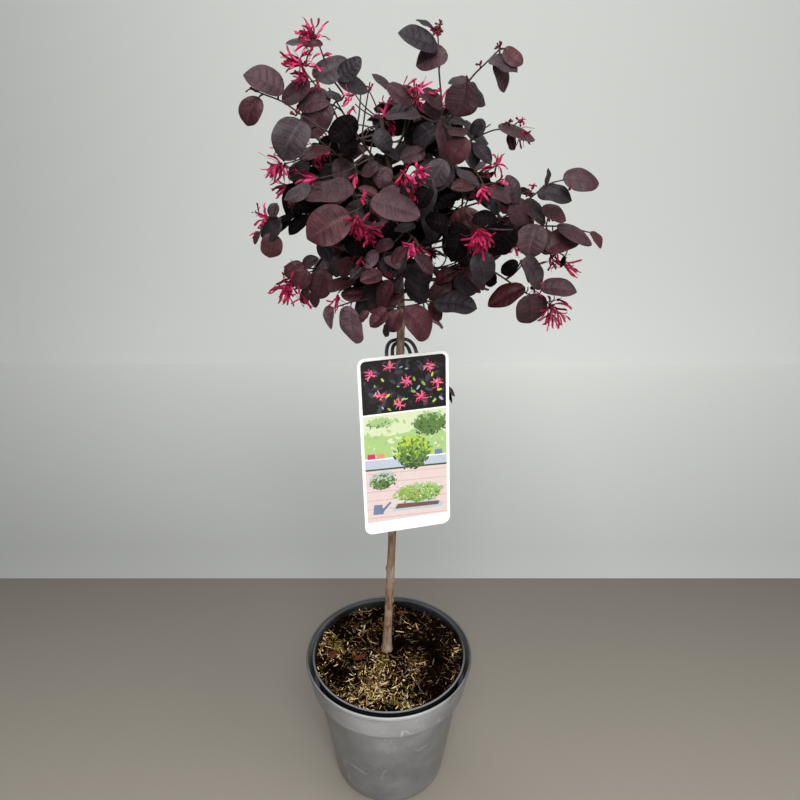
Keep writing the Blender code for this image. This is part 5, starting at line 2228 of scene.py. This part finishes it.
    def build_clip(self) -> None:
        """Makes the black clip, one strip with a rounded section that runs round and closes."""
        path, sides = self.clip_path(), self.clip_sides
        ahead = np.roll(path, -1, axis=0) - np.roll(path, 1, axis=0)
        ahead /= np.linalg.norm(ahead, axis=1, keepdims=True)
        rear = np.array([0.0, 1.0, 0.0]) - ahead * ahead[:, 1:2]
        rear /= np.linalg.norm(rear, axis=1, keepdims=True)
        beside = np.cross(ahead, rear)
        section = []
        for k in range(sides):
            u, v = math.cos(FULL_TURN * k / sides), math.sin(FULL_TURN * k / sides)
            square = (abs(u) ** 4 + abs(v) ** 4) ** 0.25
            section.append((u / square * self.clip_strip / 2, v / square * self.clip_strip * 0.72))
        rings = np.array([path + u * rear + v * beside for u, v in section]).transpose(1, 0, 2)
        last = (len(path) - 1) * sides
        faces = ring_faces(len(path), sides).tolist()
        faces += [[last + k, last + (k + 1) % sides, (k + 1) % sides, k] for k in range(sides)]
        mesher = Mesher()
        self.put(mesher, rings.reshape(-1, 3), faces)
        finish = PlasticFinish("clip", seen(20, 20, 21), seen(60, 60, 62), 0.34, 0.3)
        mesher.piece("tag_clip_strip", finish.materials(), "tag_clip", ["tag_clip"], 50.0)

    def build(self) -> None:
        """Builds the card, its print and its clip."""
        self.build_card()
        self.build_print()
        self.build_clip()


@dataclass
class Studio:
    """A pale floor and backdrop with painted light fall-off, soft lights and the camera."""

    view: View = field(default_factory=View)
    floor_front: float = -2.6
    floor_back: float = 0.36
    wall_place: float = 1.24
    wall_height: float = 2.8
    half_width: float = 3.0

    def build_stage(self) -> None:
        """Makes the floor, the paler ground behind it and the backdrop."""
        wall = self.wall_place
        # The floor, ground and backdrop darken to their sides and away from their lightest band: painted
        # light fall-off.
        floor = StageFinish("floor", seen(144, 137, 127), seen(86, 82, 74), (-9.0, -0.34, 0.44),
                            (-0.62, 0.0, 0.1, 0.85), 0.12)
        ground = StageFinish("ground", seen(224, 225, 222), seen(111, 112, 110), (0.45, 1.43, 9.0),
                             (-1.6, 0.4, 0.4, 3.0), 0.38)
        backdrop = StageFinish("backdrop", seen(218, 220, 217), seen(160, 162, 159),
                               (-9.0, wall + 0.1, wall + 1.55), (-1.0, -0.1, 0.0, 2.5), 0.38)
        corners = ((self.floor_front, 0.0), (self.floor_back, 0.0), (wall, 0.0), (wall, self.wall_height))
        for finish, *edges in zip((floor, ground, backdrop), corners, corners[1:]):
            name = f"studio_{finish.name}"
            mesh = bpy.data.meshes.new(name)
            mesh.from_pydata([(x, *edge) for edge in edges for x in (-self.half_width, self.half_width)], [],
                             [[0, 1, 3, 2]])
            mesh.materials.append(finish.materials()[0])
            made = bpy.data.objects.new(name, mesh)
            bpy.context.collection.objects.link(made)
            LOG.info("%s: stage", name)

    def add_light(self, name: str, place: Triple, aim: Triple, size: float, power: float) -> None:
        """Adds a square soft light.

        Args:
            name: Its name.
            place: Where it stands.
            aim: What it points at.
            size: Its side.
            power: Its power in watts.
        """
        light = bpy.data.lights.new(name, "AREA")
        light.size = size
        light.energy = power
        made = bpy.data.objects.new(name, light)
        made.location = place
        made.rotation_euler = (Vector(aim) - Vector(place)).to_track_quat("-Z", "Y").to_euler()
        bpy.context.collection.objects.link(made)

    def build_lights(self) -> None:
        """Sets a large soft light above the front, four weaker ones round the plant, and a pale sky."""
        heart = (0.03, 0.0, 0.55)
        self.add_light("key", (0.15, -1.5, 2.0), heart, 1.0, 50.0)
        self.add_light("front", (0.05, -1.7, 0.4), (0.0, 0.0, 0.1), 0.5, 4.5)
        self.add_light("fill", (1.5, -0.8, 1.5), heart, 1.2, 8.0)
        self.add_light("ceiling", (0.2, -0.1, 2.5), (0.2, 0.1, 0.0), 1.6, 24.0)
        self.add_light("rear", (-0.7, 1.0, 1.9), heart, 1.0, 7.0)
        world = bpy.data.worlds.new("studio_air")
        world.use_nodes = True
        sky = world.node_tree.nodes["Background"].inputs
        sky["Color"].default_value = (0.96, 0.98, 1.0, 1.0)
        sky["Strength"].default_value = 0.2
        bpy.context.scene.world = world

    def build_camera(self) -> None:
        """Sets the camera at the photograph's viewing angle."""
        camera = bpy.data.cameras.new("view")
        camera.sensor_width = 36.0
        camera.lens = 36.0
        camera.clip_start = 0.05
        made = bpy.data.objects.new("view", camera)
        made.location = self.view.place
        made.rotation_euler = (math.pi / 2 - self.view.slope, 0.0, 0.0)
        bpy.context.collection.objects.link(made)
        bpy.context.scene.camera = made
        bpy.context.scene.view_settings.view_transform = "Standard"

    def build(self) -> None:
        """Sets the stage, the lights and the camera."""
        self.build_stage()
        self.build_lights()
        self.build_camera()


def main() -> None:
    """Builds the stage and every part of the plant."""
    logging.basicConfig(level=logging.INFO, format="%(message)s")
    nodes = sorted(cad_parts)
    trunk = TrunkAxis.read()
    limbs = {node.removeprefix("bough_"): Limb.read(node, trunk)
             for node in nodes if node.startswith("bough_")}
    masses = [node.removeprefix("leaves_") for node in nodes if node.startswith("leaves_")]
    Studio().build()
    OuterPot().build()
    GrowerPot().build()
    Soil().build()
    Wood(trunk, limbs).build()
    Crown(trunk, limbs, masses).build()
    HangTag().build()


if __name__ == "__main__":
    main()
